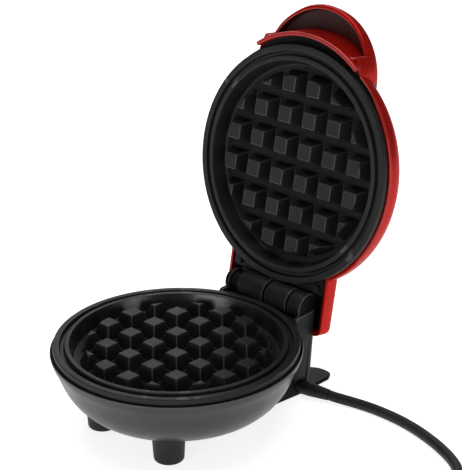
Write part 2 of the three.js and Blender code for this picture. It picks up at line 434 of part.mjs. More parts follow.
const PLUG_X = COIL.x + COIL_MEAN_R, PLUG_Y = COIL.y + 45, PLUG_Z = FLOOR_Z + 8.1;
add(base, 'cord_tail', tube([V3(PLUG_X, COIL.y + 23.8, FLOOR_Z + 9.2), V3(PLUG_X, COIL.y + 34, FLOOR_Z + 8.3), V3(PLUG_X, PLUG_Y - 0.3, PLUG_Z)], CORD_D, 10, 6), BLACK, 0.55, 0);
{
  const g = toGeometry(prism(rounded(-11.4, -7.9, 11.4, 7.9, [4, 4, 4, 4], 5), 0, 27));
  g.rotateX(-Math.PI / 2);
  g.translate(PLUG_X, PLUG_Y + 14, PLUG_Z);
  let s = union(bar(V3(PLUG_X, PLUG_Y, PLUG_Z), V3(PLUG_X, PLUG_Y + 15, PLUG_Z), 3.7, 20, 5.2), toSolid(g));
  for (const x of [-6.35, 6.35]) s = cut(s, box(PLUG_X + x - 1.05, PLUG_X + x + 1.05, PLUG_Y + 35, PLUG_Y + 42, PLUG_Z - 3.5, PLUG_Z + 3.5));
  add(base, 'plug_body', s, BLACK, 0.55, 0);
}
for (const [name, x] of [['plug_blade_a', -6.35], ['plug_blade_b', 6.35]]) {
  add(base, name, box(PLUG_X + x - 0.75, PLUG_X + x + 0.75, PLUG_Y + 35.3, PLUG_Y + 57, PLUG_Z - 3.15, PLUG_Z + 3.15), STEEL, 0.3, 1);
}

// ---------------------------------------------------------------- assembly: the lid opened on its hinge
lid.position.set(0, -AXIS_Y, -AXIS_Z);
const hinge = new THREE.Group();
hinge.position.set(0, AXIS_Y, AXIS_Z);
hinge.rotation.x = -OPEN_DEG * Math.PI / 180;
hinge.add(lid);
const waffleMaker = new THREE.Group();
waffleMaker.position.set(0, -Y_CENTRE, FLOOR);
waffleMaker.add(base, hinge);
const part = new THREE.Group();
part.add(waffleMaker);

export default part;
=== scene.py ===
import math

import bmesh
import bpy
from mathutils import Matrix, Vector


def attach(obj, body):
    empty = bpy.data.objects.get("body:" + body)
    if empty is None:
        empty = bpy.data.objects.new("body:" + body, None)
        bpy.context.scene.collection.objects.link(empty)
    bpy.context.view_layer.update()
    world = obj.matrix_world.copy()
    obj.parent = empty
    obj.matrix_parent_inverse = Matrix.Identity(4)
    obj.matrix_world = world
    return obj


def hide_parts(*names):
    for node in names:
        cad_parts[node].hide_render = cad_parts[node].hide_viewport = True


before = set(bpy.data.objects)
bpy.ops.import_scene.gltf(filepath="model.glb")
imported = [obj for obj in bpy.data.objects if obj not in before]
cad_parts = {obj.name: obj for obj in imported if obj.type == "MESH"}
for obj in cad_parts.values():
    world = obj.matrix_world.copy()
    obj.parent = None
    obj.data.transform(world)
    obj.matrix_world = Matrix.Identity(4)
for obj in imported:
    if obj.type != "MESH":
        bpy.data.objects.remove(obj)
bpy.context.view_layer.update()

MM = 0.001

# ------------------------------------------------------------------ frames, in mm as in the CAD layout
Y_CENTRE = 28.508
FLOOR = 46.5
OPEN_DEG = 101.3
AXIS_Y, AXIS_Z = 71.55, 1.63

BASE = Matrix.Scale(MM, 4) @ Matrix.Translation((0, -Y_CENTRE, FLOOR))
LID = (
    BASE
    @ Matrix.Translation((0, AXIS_Y, AXIS_Z))
    @ Matrix.Rotation(math.radians(-OPEN_DEG), 4, "X")
    @ Matrix.Translation((0, -AXIS_Y, -AXIS_Z))
)

# ------------------------------------------------------------------ camera, solved from the photograph
cam_data = bpy.data.cameras.new("camera")
cam = bpy.data.objects.new("camera", cam_data)
bpy.context.scene.collection.objects.link(cam)
right, up, back = Vector((0.72339, 0.69041, -0.00588)), Vector((-0.27195, 0.29275, 0.9167)), Vector((0.63462, -0.66154, 0.39953))
where = BASE @ Vector((572.29, -555.88, 405.95))
cam.matrix_world = Matrix((
    (right.x, up.x, back.x, where.x),
    (right.y, up.y, back.y, where.y),
    (right.z, up.z, back.z, where.z),
    (0, 0, 0, 1),
))
cam_data.sensor_width = 36.0
cam_data.lens = 133.81
cam_data.clip_start = 0.05
cam_data.clip_end = 20
bpy.context.scene.camera = cam


# ------------------------------------------------------------------ materials
def nodes_of(name):
    m = bpy.data.materials.new(name)
    m.use_nodes = True
    t = m.node_tree
    b = next(n for n in t.nodes if n.type == "BSDF_PRINCIPLED")
    coord = t.nodes.new("ShaderNodeTexCoord")
    return m, t, b, coord


def noise(t, coord, scale, detail=3.0, rough=0.55, stretch=None):
    n = t.nodes.new("ShaderNodeTexNoise")
    n.inputs["Scale"].default_value = scale
    n.inputs["Detail"].default_value = detail
    n.inputs["Roughness"].default_value = rough
    if stretch:
        m = t.nodes.new("ShaderNodeMapping")
        m.inputs["Scale"].default_value = stretch
        t.links.new(coord.outputs["Object"], m.inputs["Vector"])
        t.links.new(m.outputs["Vector"], n.inputs["Vector"])
    else:
        t.links.new(coord.outputs["Object"], n.inputs["Vector"])
    return n


def ramp(t, fac, lo, hi, c0, c1):
    r = t.nodes.new("ShaderNodeValToRGB")
    r.color_ramp.elements[0].position = lo
    r.color_ramp.elements[1].position = hi
    r.color_ramp.elements[0].color = (*c0, 1)
    r.color_ramp.elements[1].color = (*c1, 1)
    t.links.new(fac, r.inputs["Fac"])
    return r


def span(t, fac, lo, hi):
    r = t.nodes.new("ShaderNodeMapRange")
    r.inputs["From Min"].default_value = 0.3
    r.inputs["From Max"].default_value = 0.7
    r.inputs["To Min"].default_value = lo
    r.inputs["To Max"].default_value = hi
    t.links.new(fac, r.inputs["Value"])
    return r


def bump(t, fac, strength, distance, normal=None):
    b = t.nodes.new("ShaderNodeBump")
    b.inputs["Strength"].default_value = strength
    b.inputs["Distance"].default_value = distance
    t.links.new(fac, b.inputs["Height"])
    if normal is not None:
        t.links.new(normal, b.inputs["Normal"])
    return b


def finish_material(name, dark, light, rough, metal=0.0, coat=0.0, coat_rough=0.05, colour_scale=60.0, rough_scale=90.0,
                    grain=None, swell=None, spec=0.5, stretch=None, sheen=0.0, wear_and_highlight=None):
    """Colour drifts softly, roughness in patches, and the surface has fine grain and a slow swell. The edge colour is
    painted on the convex edges, found by pointiness: partly wear, partly a painted highlight where the rounded edges
    catch light."""
    m, t, b, coord = nodes_of(name)
    c = noise(t, coord, colour_scale, 4.0, stretch=stretch)
    colour = ramp(t, c.outputs["Fac"], 0.35, 0.65, dark, light).outputs["Color"]
    # painted highlight, partly wear: a lighter colour on the convex edges
    if wear_and_highlight:
        geo = t.nodes.new("ShaderNodeNewGeometry")
        edge = ramp(t, geo.outputs["Pointiness"], 0.510, 0.545, (0, 0, 0), (1, 1, 1))
        mix = t.nodes.new("ShaderNodeMix")
        mix.data_type = "RGBA"
        mix.blend_type = "MIX"
        t.links.new(edge.outputs["Color"], mix.inputs["Factor"])
        t.links.new(colour, mix.inputs["A"])
        mix.inputs["B"].default_value = (*wear_and_highlight, 1)
        colour = mix.outputs["Result"]
    t.links.new(colour, b.inputs["Base Color"])
    r = noise(t, coord, rough_scale, 5.0, stretch=stretch)
    t.links.new(span(t, r.outputs["Fac"], rough[0], rough[1]).outputs["Result"], b.inputs["Roughness"])
    b.inputs["Metallic"].default_value = metal
    b.inputs["Coat Weight"].default_value = coat
    b.inputs["Coat Roughness"].default_value = coat_rough
    b.inputs["Specular IOR Level"].default_value = spec
    b.inputs["Sheen Weight"].default_value = sheen
    normal = None
    if swell:
        normal = bump(t, noise(t, coord, swell[0], 2.0).outputs["Fac"], swell[1], swell[2]).outputs["Normal"]
    if grain:
        normal = bump(t, noise(t, coord, grain[0], 2.0, 0.6, stretch=stretch).outputs["Fac"], grain[1], grain[2], normal).outputs["Normal"]
    if normal is not None:
        t.links.new(normal, b.inputs["Normal"])
    return m


def red_lacquer():
    """Metallic flake lacquer under a clear coat."""
    m, t, b, coord = nodes_of("red_lacquer")
    flakes = t.nodes.new("ShaderNodeTexVoronoi")
    flakes.inputs["Scale"].default_value = 5200
    t.links.new(coord.outputs["Object"], flakes.inputs["Vector"])
    grey = t.nodes.new("ShaderNodeRGBToBW")
    t.links.new(flakes.outputs["Color"], grey.inputs["Color"])
    col = ramp(t, grey.outputs["Val"], 0.15, 0.85, (0.34, 0.0072, 0.0045), (0.585, 0.0165, 0.0105))
    drift = noise(t, coord, 14, 2.0)
    mix = t.nodes.new("ShaderNodeMix")
    mix.data_type = "RGBA"
    mix.blend_type = "MULTIPLY"
    mix.inputs["Factor"].default_value = 0.25
    t.links.new(col.outputs["Color"], mix.inputs["A"])
    t.links.new(ramp(t, drift.outputs["Fac"], 0.3, 0.7, (0.8, 0.7, 0.7), (1, 1, 1)).outputs["Color"], mix.inputs["B"])
    t.links.new(mix.outputs["Result"], b.inputs["Base Color"])
    t.links.new(span(t, grey.outputs["Val"], 0.26, 0.38).outputs["Result"], b.inputs["Roughness"])
    b.inputs["Metallic"].default_value = 0.55
    b.inputs["Specular IOR Level"].default_value = 0.2
    b.inputs["Specular Tint"].default_value = (0.55, 0.16, 0.14, 1)
    b.inputs["Coat Weight"].default_value = 0.14
    b.inputs["Coat Roughness"].default_value = 0.07
    peel = bump(t, noise(t, coord, 420, 2.0).outputs["Fac"], 0.06, 0.0002)
    t.links.new(peel.outputs["Normal"], b.inputs["Coat Normal"])
    t.links.new(bump(t, grey.outputs["Val"], 0.05, 0.00008).outputs["Normal"], b.inputs["Normal"])
    return m


RED = red_lacquer()
# painted highlight: a lighter red for the lid's rim edges
RED_EDGE_HIGHLIGHT = finish_material("red_lacquer_painted_edge_highlight", (0.46, 0.040, 0.038), (0.60, 0.060, 0.056), (0.26, 0.36), metal=0.2, coat=0.25, coat_rough=0.1, spec=0.45, grain=(2600, 0.1, 0.0001))
RED_LIP = finish_material("red_lacquer_lip", (0.37, 0.019, 0.018), (0.47, 0.028, 0.026), (0.28, 0.38), metal=0.35, coat=0.16, coat_rough=0.1, spec=0.35, grain=(2600, 0.1, 0.0001))
# darker red for the lid's inside: partly the bare moulding, partly painted shade
INSIDE = finish_material("lid_inside", (0.030, 0.0085, 0.0075), (0.050, 0.013, 0.011), (0.42, 0.6), spec=0.3, colour_scale=40, grain=(2200, 0.25, 0.00015))
# the bowl, the plates' coating and the black plastic get lighter convex edges: partly wear, partly painted highlight
GREY = finish_material("grey_shell", (0.0262, 0.0262, 0.028), (0.0325, 0.0325, 0.0343), (0.3, 0.4), coat=0.04, coat_rough=0.15, spec=0.26,
                       grain=(2600, 0.10, 0.00012), swell=(45, 0.04, 0.001), wear_and_highlight=(0.16, 0.16, 0.16))
PEGS = finish_material("nonstick_pegs", (0.0118, 0.0118, 0.0121), (0.0168, 0.0168, 0.0173), (0.38, 0.48), spec=0.21, grain=(3400, 0.22, 0.00012), swell=(260, 0.06, 0.0003))
COATING = finish_material("nonstick", (0.0115, 0.0115, 0.0118), (0.0165, 0.0165, 0.017), (0.38, 0.48), spec=0.21,
                          grain=(3400, 0.22, 0.00012), swell=(260, 0.06, 0.0003), wear_and_highlight=(0.075, 0.075, 0.076))
BLACK = finish_material("black_plastic", (0.0105, 0.0105, 0.011), (0.0145, 0.0145, 0.015), (0.42, 0.55), spec=0.2, grain=(2800, 0.2, 0.00015),
                        wear_and_highlight=(0.05, 0.05, 0.05))
STAND = finish_material("stand_plastic", (0.021, 0.021, 0.022), (0.027, 0.027, 0.028), (0.42, 0.52), spec=0.12, grain=(2600, 0.15, 0.00012),
                        swell=(45, 0.04, 0.001))
HINGE = finish_material("hinge_plastic", (0.0085, 0.0085, 0.009), (0.0125, 0.0125, 0.013), (0.42, 0.55), spec=0.2, grain=(2800, 0.2, 0.00015))
# lighter rims: painted highlights on the hinge's and the stand's rounded edges
RIM_HIGHLIGHT_BLACK = finish_material("hinge_rims_painted_highlight", (0.055, 0.055, 0.056), (0.085, 0.085, 0.086), (0.35, 0.45), spec=0.4, grain=(2800, 0.2, 0.00015))
RIM_HIGHLIGHT_GREY = finish_material("stand_rims_painted_highlight", (0.085, 0.085, 0.086), (0.125, 0.125, 0.126), (0.35, 0.45), spec=0.4, grain=(2800, 0.2, 0.00015))
# painted shade: near-black for gaps, joints, recesses and the shaded base cover
SHADE_BLACK = finish_material("painted_shade_black", (0.0035, 0.0035, 0.0037), (0.0055, 0.0055, 0.0058), (0.55, 0.7), spec=0.12, grain=(2200, 0.25, 0.00015))
WALL = finish_material("nonstick_polished", (0.0105, 0.0105, 0.0108), (0.015, 0.015, 0.0155), (0.24, 0.30), spec=0.75,
                       grain=(3400, 0.1, 0.0001), swell=(160, 0.05, 0.0004))
# painted highlight on the pegs' edges; painted shade in the channels between the pegs
PEG_EDGE_HIGHLIGHT = finish_material("nonstick_painted_edge_highlight", (0.030, 0.030, 0.0305), (0.042, 0.042, 0.043), (0.3, 0.4), spec=0.35, grain=(3400, 0.15, 0.0001))
CHANNEL_SHADE = finish_material("nonstick_painted_channel_shade", (0.0060, 0.0060, 0.0062), (0.0090, 0.0090, 0.0093), (0.42, 0.55), spec=0.16, grain=(3400, 0.22, 0.00012))
SHADED = finish_material("stand_shaded_sides", (0.0018, 0.0018, 0.0019), (0.0026, 0.0026, 0.0027), (0.6, 0.7), spec=0.03, grain=(2200, 0.25, 0.00015))
RUBBER = finish_material("foot_rubber", (0.007, 0.007, 0.0075), (0.011, 0.011, 0.0115), (0.5, 0.66), spec=0.3, grain=(1800, 0.3, 0.0002))
CORD = finish_material("cord_rubber", (0.0105, 0.0105, 0.011), (0.0155, 0.0155, 0.016), (0.5, 0.62), spec=0.28, grain=(1500, 0.14, 0.0002), swell=(160, 0.1, 0.0004))
STEEL = finish_material("steel", (0.46, 0.47, 0.48), (0.62, 0.63, 0.64), (0.22, 0.4), metal=1.0, grain=(900, 0.15, 0.0001), stretch=(1, 1, 12))
BLACKENED = finish_material("blackened_steel", (0.012, 0.012, 0.013), (0.022, 0.022, 0.023), (0.35, 0.5), metal=0.6, grain=(900, 0.15, 0.0001))
ALUMINIUM = finish_material("bright_aluminium", (0.68, 0.69, 0.70), (0.8, 0.81, 0.82), (0.25, 0.4), metal=1.0, grain=(700, 0.12, 0.0001), stretch=(8, 1, 1))
CERAMIC = finish_material("ceramic_white", (0.70, 0.67, 0.58), (0.80, 0.77, 0.68), (0.5, 0.7), grain=(1500, 0.2, 0.0002))
LEAD_RED = finish_material("lead_red", (0.26, 0.02, 0.015), (0.36, 0.03, 0.02), (0.4, 0.55), grain=(1200, 0.2, 0.0002))
LEAD_BROWN = finish_material("lead_brown", (0.09, 0.04, 0.018), (0.14, 0.06, 0.025), (0.4, 0.55), grain=(1200, 0.2, 0.0002))
LEAD_BLUE = finish_material("lead_blue", (0.015, 0.05, 0.17), (0.025, 0.075, 0.24), (0.4, 0.55), grain=(1200, 0.2, 0.0002))


def darker_towards(m, x0, x1, factor):
    """The colour of a material falls to factor times itself from x1 down to x0, in metres of the row."""
    t = m.node_tree
    b = next(n for n in t.nodes if n.type == "BSDF_PRINCIPLED")
    coord = next(n for n in t.nodes if n.type == "TEX_COORD")
    old = b.inputs["Base Color"].links[0].from_socket
    parts = t.nodes.new("ShaderNodeSeparateXYZ")
    t.links.new(coord.outputs["Object"], parts.inputs["Vector"])
    r = t.nodes.new("ShaderNodeMapRange")
    r.interpolation_type = "SMOOTHSTEP"
    r.inputs["From Min"].default_value = x0
    r.inputs["From Max"].default_value = x1
    r.inputs["To Min"].default_value = factor
    r.inputs["To Max"].default_value = 1.0
    t.links.new(parts.outputs["X"], r.inputs["Value"])
    scale = t.nodes.new("ShaderNodeVectorMath")
    scale.operation = "SCALE"
    t.links.new(old, scale.inputs[0])
    t.links.new(r.outputs["Result"], scale.inputs["Scale"])
    t.links.new(scale.outputs["Vector"], b.inputs["Base Color"])


# painted shade: the cord and its sleeve darken towards the stand, where they leave it
darker_towards(CORD, 0.034, 0.092, 0.3)


def clear(name, tint, rough):
    m, t, b, coord = nodes_of(name)
    c = noise(t, coord, 300, 2.0)
    t.links.new(ramp(t, c.outputs["Fac"], 0.3, 0.7, tuple(0.94 * x for x in tint), tint).outputs["Color"], b.inputs["Base Color"])
    b.inputs["Transmission Weight"].default_value = 0.75
    b.inputs["IOR"].default_value = 1.49
    t.links.new(span(t, noise(t, coord, 900, 3.0).outputs["Fac"], rough, rough + 0.08).outputs["Result"], b.inputs["Roughness"])
    return m


LENS = clear("lens", (0.93, 0.95, 0.97), 0.06)
LAMP = clear("lamp", (0.9, 0.84, 0.72), 0.25)


# ------------------------------------------------------------------ mesh tools, all in mm of the layout
def fillet(points, radius, steps=5, closed=False):
    """Rounds the corners of a 2D outline. radius is one number, or one for each corner."""
    n = len(points)
    radii = [radius] * n if isinstance(radius, (int, float)) else list(radius)
    out = []
    for i, (x, y) in enumerate(points):
        if (not closed and i in (0, n - 1)) or radii[i] <= 0:
            out.append((x, y))
            continue
        ax, ay = points[i - 1]
        bx, by = points[(i + 1) % n]
        u, v = Vector((ax - x, ay - y)), Vector((bx - x, by - y))
        lu, lv = u.length, v.length
        if lu < 1e-9 or lv < 1e-9:
            out.append((x, y))
            continue
        u, v = u / lu, v / lv
        cosang = max(-1.0, min(1.0, u.dot(v)))
        half = math.acos(cosang) / 2
        if half > math.radians(88.5):
            out.append((x, y))
            continue
        d = min(radii[i] / math.tan(half), 0.48 * lu, 0.48 * lv)
        r = d * math.tan(half)
        mid = (u + v).normalized()
        c = Vector((x, y)) + mid * (r / math.sin(half))
        p0, p1 = Vector((x, y)) + u * d, Vector((x, y)) + v * d
        a0 = math.atan2(p0.y - c.y, p0.x - c.x)
        a1 = math.atan2(p1.y - c.y, p1.x - c.x)
        da = (a1 - a0 + math.pi) % (2 * math.pi) - math.pi
        for k in range(steps + 1):
            a = a0 + da * k / steps
            out.append((c.x + r * math.cos(a), c.y + r * math.sin(a)))
    return out


def spline(points, steps=4):
    """A smooth line through the points (Catmull-Rom), in any number of dimensions."""
    out = []
    n = len(points)
    for i in range(n - 1):
        p0, p1, p2, p3 = points[max(i - 1, 0)], points[i], points[i + 1], points[min(i + 2, n - 1)]
        for k in range(steps):
            s = k / steps
            out.append(tuple(
                0.5 * (2 * b + (c - a) * s + (2 * a - 5 * b + 4 * c - d) * s * s + (3 * b - a - 3 * c + d) * s ** 3)
                for a, b, c, d in zip(p0, p1, p2, p3)
            ))
    out.append(tuple(points[-1]))
    return out


class Shape:
    def __init__(self):
        self.verts, self.faces = [], []

    def add(self, verts, faces):
        k = len(self.verts)
        self.verts += [tuple(v) for v in verts]
        self.faces += [tuple(i + k for i in f) for f in faces]
        return self

    def lathe(self, profile, seg=160, x=0.0, y=0.0):
        """Turned about the vertical line through (x, y). Ends on the axis, or closes on itself."""
        loop = abs(profile[0][0] - profile[-1][0]) < 1e-7 and abs(profile[0][1] - profile[-1][1]) < 1e-7
        prof = profile[:-1] if loop else profile
        verts, rings = [], []
        for r, z in prof:
            if r < 1e-6:
                rings.append([len(verts)])
                verts.append((x, y, z))
            else:
                rings.append(list(range(len(verts), len(verts) + seg)))
                verts += [(x + r * math.cos(2 * math.pi * i / seg), y + r * math.sin(2 * math.pi * i / seg), z) for i in range(seg)]
        faces = []
        pairs = list(zip(rings, rings[1:])) + ([(rings[-1], rings[0])] if loop else [])
        for a, b in pairs:
            for i in range(seg):
                j = (i + 1) % seg
                if len(a) == 1 and len(b) == 1:
                    continue
                if len(a) == 1:
                    faces.append((a[0], b[j], b[i]))
                elif len(b) == 1:
                    faces.append((a[i], a[j], b[0]))
                else:
                    faces.append((a[i], a[j], b[j], b[i]))
        return self.add(verts, faces)

    def arc_sweep(self, section, a0, a1, steps, x=0.0, y=0.0):
        """A closed section of [radius, height] swept round (x, y); angles in degrees from -Y towards +X, flat ends."""
        n = len(section)
        verts, faces = [], []
        for k in range(steps + 1):
            a = math.radians(a0 + (a1 - a0) * k / steps)
            verts += [(x + r * math.sin(a), y - r * math.cos(a), z) for r, z in section]
        for k in range(steps):
            for i in range(n):
                j = (i + 1) % n
                faces.append((k * n + i, k * n + j, (k + 1) * n + j, (k + 1) * n + i))
        faces.append(tuple(reversed(range(n))))
        faces.append(tuple(range(steps * n, steps * n + n)))
        return self.add(verts, faces)

    def loft(self, rings, cap=True):
        """Closed rings of equal length, each a list of points."""
        n = len(rings[0])
        verts = [p for ring in rings for p in ring]
        faces = []
        for k in range(len(rings) - 1):
            for i in range(n):
                j = (i + 1) % n
                faces.append((k * n + i, k * n + j, (k + 1) * n + j, (k + 1) * n + i))
        if cap:
            faces.append(tuple(reversed(range(n))))
            faces.append(tuple(range((len(rings) - 1) * n, len(rings) * n)))
        return self.add(verts, faces)

    def bar(self, a, b, profile, seg=48):
        """Turned about the line from a to b: profile of [radius, distance along]."""
        a, b = Vector(a), Vector(b)
        q = Vector((0, 0, 1)).rotation_difference((b - a).normalized())
        k = len(self.verts)
        self.lathe(profile, seg)
        for i in range(k, len(self.verts)):
            self.verts[i] = tuple(a + q @ Vector(self.verts[i]))
        return self

    def prism(self, outline, z0, z1):
        n = len(outline)
        return self.loft([[(x, y, z0) for x, y in outline], [(x, y, z1) for x, y in outline]])

    def box(self, x0, x1, y0, y1, z0, z1):
        return self.prism([(x0, y0), (x1, y0), (x1, y1), (x0, y1)], z0, z1)

    def object(self, name, matrix, sharp=32.0, recalc=True):
        mesh = bpy.data.meshes.new(name)
        mesh.from_pydata([matrix @ Vector(v) for v in self.verts], [], self.faces)
        bm = bmesh.new()
        bm.from_mesh(mesh)
        bmesh.ops.remove_doubles(bm, verts=bm.verts, dist=1e-7)
        if recalc:
            bmesh.ops.recalc_face_normals(bm, faces=bm.faces)
        bm.to_mesh(mesh)
        bm.free()
        o = bpy.data.objects.new(name, mesh)
        bpy.context.scene.collection.objects.link(o)
        smooth(o, sharp)
        return o


def smooth(o, sharp=32.0):
    o.data.polygons.foreach_set("use_smooth", [True] * len(o.data.polygons))
    o.data.set_sharp_from_angle(angle=math.radians(sharp))
    o.data.update()


def bake(o):
    """The object's modifiers applied to its mesh."""
    dg = bpy.context.evaluated_depsgraph_get()
    mesh = bpy.data.meshes.new_from_object(o.evaluated_get(dg), preserve_all_data_layers=True, depsgraph=dg)
    o.modifiers.clear()
    old = o.data
    o.data = mesh
    bpy.data.meshes.remove(old)
    return o


def boolean(o, cutter, operation):
    m = o.modifiers.new("b", "BOOLEAN")
    m.solver = "EXACT"
    m.operation = operation
    m.object = cutter
    bake(o)
    bpy.data.objects.remove(cutter)
    return o


def rounded(o, width, segments=3, angle=35.0, weld=0.00001, dissolve=True, rim=-1, clamp=True):
    """Small rounded edges on a hard-edged piece."""
    if weld:
        w = o.modifiers.new("weld", "WELD")
        w.merge_threshold = weld
    if dissolve:
        d = o.modifiers.new("flat", "DECIMATE")
        d.decimate_type = "DISSOLVE"
        d.angle_limit = math.radians(1.0)
    b = o.modifiers.new("edge", "BEVEL")
    b.width = width * MM
    b.segments = segments
    b.limit_method = "ANGLE"
    b.angle_limit = math.radians(angle)
    b.use_clamp_overlap = clamp
    b.harden_normals = False
    b.material = rim
    n = o.modifiers.new("normals", "WEIGHTED_NORMAL")
    n.keep_sharp = False
    n.weight = 60
    return o


def join(name, *objs):
    bm = bmesh.new()
    for o in objs:
        bm.from_mesh(o.data)
    mesh = bpy.data.meshes.new(name)
    bm.to_mesh(mesh)
    bm.free()
    for o in objs:
        bpy.data.objects.remove(o)
    o = bpy.data.objects.new(name, mesh)
    bpy.context.scene.collection.objects.link(o)
    return o


def finish_piece(o, body, slot, material, *replaces):
    o.data.materials.clear()
    o.data.materials.append(material)
    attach(o, body)
    if replaces:
        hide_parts(*replaces)
    return o


# ------------------------------------------------------------------ the mains cord, in mm of the layout
CORD_D = 5.6
CORD_Z = -FLOOR + CORD_D / 2 + 0.02
EXIT = Vector((28.8, 63.9, -41.5))
EXIT_DIR = Vector((0.965, 0.255, -0.055)).normalized()
sleeve_end = EXIT + EXIT_DIR * 16.8
cord_start = sleeve_end + EXIT_DIR * 0.3
cord_next = sleeve_end + EXIT_DIR * 4
cord_next.z = -42.75
ROUTE = [(52.5, 71.0, 0.3), (60.5, 73.1, 0), (69, 74.3, 0), (78, 74.7, 0), (87, 74.4, 0), (95.1, 73.4, 0), (102.7, 71.9, 0), (109.6, 70.0, 0),
         (116.2, 67.9, 0), (122.2, 65.5, 0), (128.1, 62.8, 0), (133.4, 59.8, 0), (138.2, 56.2, 0), (143.4, 49.8, 0.2), (146.5, 41.3, 0.4), (146.5, 32.3, 0.6),
         (143.4, 23.8, 0.8), (139.0, 18.1, 0.9), (134.2, 12.6, 0.9)]
COIL = Vector((142.6, -26.0, -FLOOR))
COIL_LIFT = 0.9
R_MEAN, R_IN, R_OUT = 30.0, 27.2, 32.8
Z_LOW, Z_TOP = COIL_LIFT + CORD_D / 2, COIL_LIFT + CORD_D / 2 + 4.85

path = [tuple(cord_start), tuple(cord_next)] + [(x, y, CORD_Z + lift) for x, y, lift in ROUTE]
path += [(126.6, 4.6, -FLOOR + Z_LOW)]


def ease(a, b, s):
    s = max(0.0, min(1.0, s))
    s = s * s * (3 - 2 * s)
    return a + (b - a) * s


ENTER, LEAVE = 134.3, 1080.0
deg = ENTER
while deg <= LEAVE + 0.01:
    if deg < 440:
        r, z = R_OUT, Z_LOW
    elif deg < 494:
        r, z = ease(R_OUT, R_IN, (deg - 440) / 54), Z_LOW
    elif deg < 735:
        r, z = R_IN, Z_LOW
    elif deg < 790:
        r, z = ease(R_IN, R_MEAN - 0.6, (deg - 735) / 55), ease(Z_LOW, Z_TOP + 0.45, (deg - 735) / 55)
    elif deg < 870:
        r, z = ease(R_MEAN - 0.6, R_MEAN, (deg - 790) / 80), Z_TOP + 0.75 * math.sin(math.pi * min(1.0, (deg - 790 + 16) / 96))
    else:
        r, z = R_MEAN, Z_TOP
    if deg > 1056:
        z = ease(Z_TOP, Z_TOP + 0.35, (deg - 1056) / 24)
    a = math.radians(deg)
    path.append((COIL.x + r * math.cos(a), COIL.y + r * math.sin(a), COIL.z + z))
    deg += (LEAVE - ENTER) / 53
PLUG_X, PLUG_Y, PLUG_Z = COIL.x + R_MEAN, COIL.y + 45, -FLOOR + 8.1
for dy, z in ((8, Z_TOP + 0.55), (16, Z_TOP + 0.6), (24, Z_TOP + 0.35), (32, 8.3), (39, 8.1), (44.7, 8.1)):
    path.append((PLUG_X, COIL.y + dy, -FLOOR + z))

curve = bpy.data.curves.new("mains_cord", "CURVE")
curve.dimensions = "3D"
curve.bevel_depth = CORD_D / 2 * MM
curve.bevel_resolution = 6
curve.resolution_u = 6
curve.use_fill_caps = True
sp = curve.splines.new("BEZIER")
sp.bezier_points.add(len(path) - 1)
for p, q in zip(sp.bezier_points, path):
    p.co = BASE @ Vector(q)
    p.handle_left_type = p.handle_right_type = "AUTO"
mains_cord = bpy.data.objects.new("mains_cord", curve)
bpy.context.scene.collection.objects.link(mains_cord)
mains_cord.data.materials.append(CORD)
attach(mains_cord, "base")
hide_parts("power_cord", "cord_coil", "cord_tail")


# plug: a rounded body that narrows into its strain relief, and two blades
def squircle(hx, hz, r, n=6):
    return fillet([(-hx, -hz), (hx, -hz), (hx, hz), (-hx, hz)], r, n, closed=True)


plug = Shape()
rings = []
for y, hx, hz, r in ((14.0, 5.2, 5.2, 5.19), (14.6, 7.0, 6.0, 5.4), (15.8, 9.2, 6.9, 5.6), (17.6, 10.6, 7.5, 5.4), (20.0, 11.2, 7.8, 5.2), (26, 11.35, 7.85, 5.0), (33, 11.2, 7.7, 4.8),
                     (38.6, 11.0, 7.6, 4.6), (40.2, 10.7, 7.3, 4.4), (40.8, 10.2, 6.8, 4.0), (41.0, 9.4, 6.0, 3.4)):
    rings.append([(PLUG_X + px, PLUG_Y + y, PLUG_Z + pz) for px, pz in squircle(hx, hz, r)])
plug.loft(rings)
relief = [(0, 0), (3.35, 0), (3.7, 0.35)]
for k in range(5):
    y0 = 1.6 + k * 2.6
    r0 = 3.75 + k * 0.3
    relief += [(r0, y0 - 0.5), (r0 - 0.55, y0 - 0.2), (r0 - 0.55, y0 + 0.5), (r0 + 0.15, y0 + 0.8)]
relief += [(5.3, 14.2), (5.3, 15.5), (0, 15.5)]
plug.bar((PLUG_X, PLUG_Y, PLUG_Z), (PLUG_X, PLUG_Y + 1, PLUG_Z), fillet(relief, 0.18, 2), 40)
# finger grips on the broad faces
for side in (-1, 1):
    for k in range(4):
        y = PLUG_Y + 22 + k * 3.4
        grip = fillet([(-7.6, -0.55), (7.6, -0.55), (7.6, 0.55), (-7.6, 0.55)], 0.5, 4, closed=True)
        plug.loft([[(PLUG_X + gx * s, y + gy * s, PLUG_Z + side * (7.3 + h)) for gx, gy in grip] for s, h in ((1.0, 0.0), (1.0, 0.45), (0.93, 0.58))])
plug_obj = plug.object("plug_moulding", BASE, 40)
finish_piece(plug_obj, "base", "cord_rubber", CORD, "plug_body")

for tag, x in (("a", -6.35), ("b", 6.35)):
    s = Shape()
    prof = fillet([(-3.15, 35.3), (3.15, 35.3), (3.15, 55.2), (1.9, 57.0), (-1.9, 57.0), (-3.15, 55.2)], [0, 0, 0.6, 0.5, 0.5, 0.6], 3, closed=True)
    s.loft([[(PLUG_X + x + t, PLUG_Y + py, PLUG_Z + pz) for pz, py in prof] for t in (-0.75, 0.75)])
    o = s.object("plug_blade_" + tag + "_metal", BASE, 30)
    cut = Shape().bar((PLUG_X + x - 3, PLUG_Y + 53.2, PLUG_Z), (PLUG_X + x + 3, PLUG_Y + 53.2, PLUG_Z), [(0, 0), (1.3, 0), (1.3, 6), (0, 6)], 28).object("cut", BASE)
    boolean(o, cut, "DIFFERENCE")
    rounded(o, 0.15, 2, 30, dissolve=False)
    finish_piece(o, "base", "steel", STEEL, "plug_blade_" + tag)

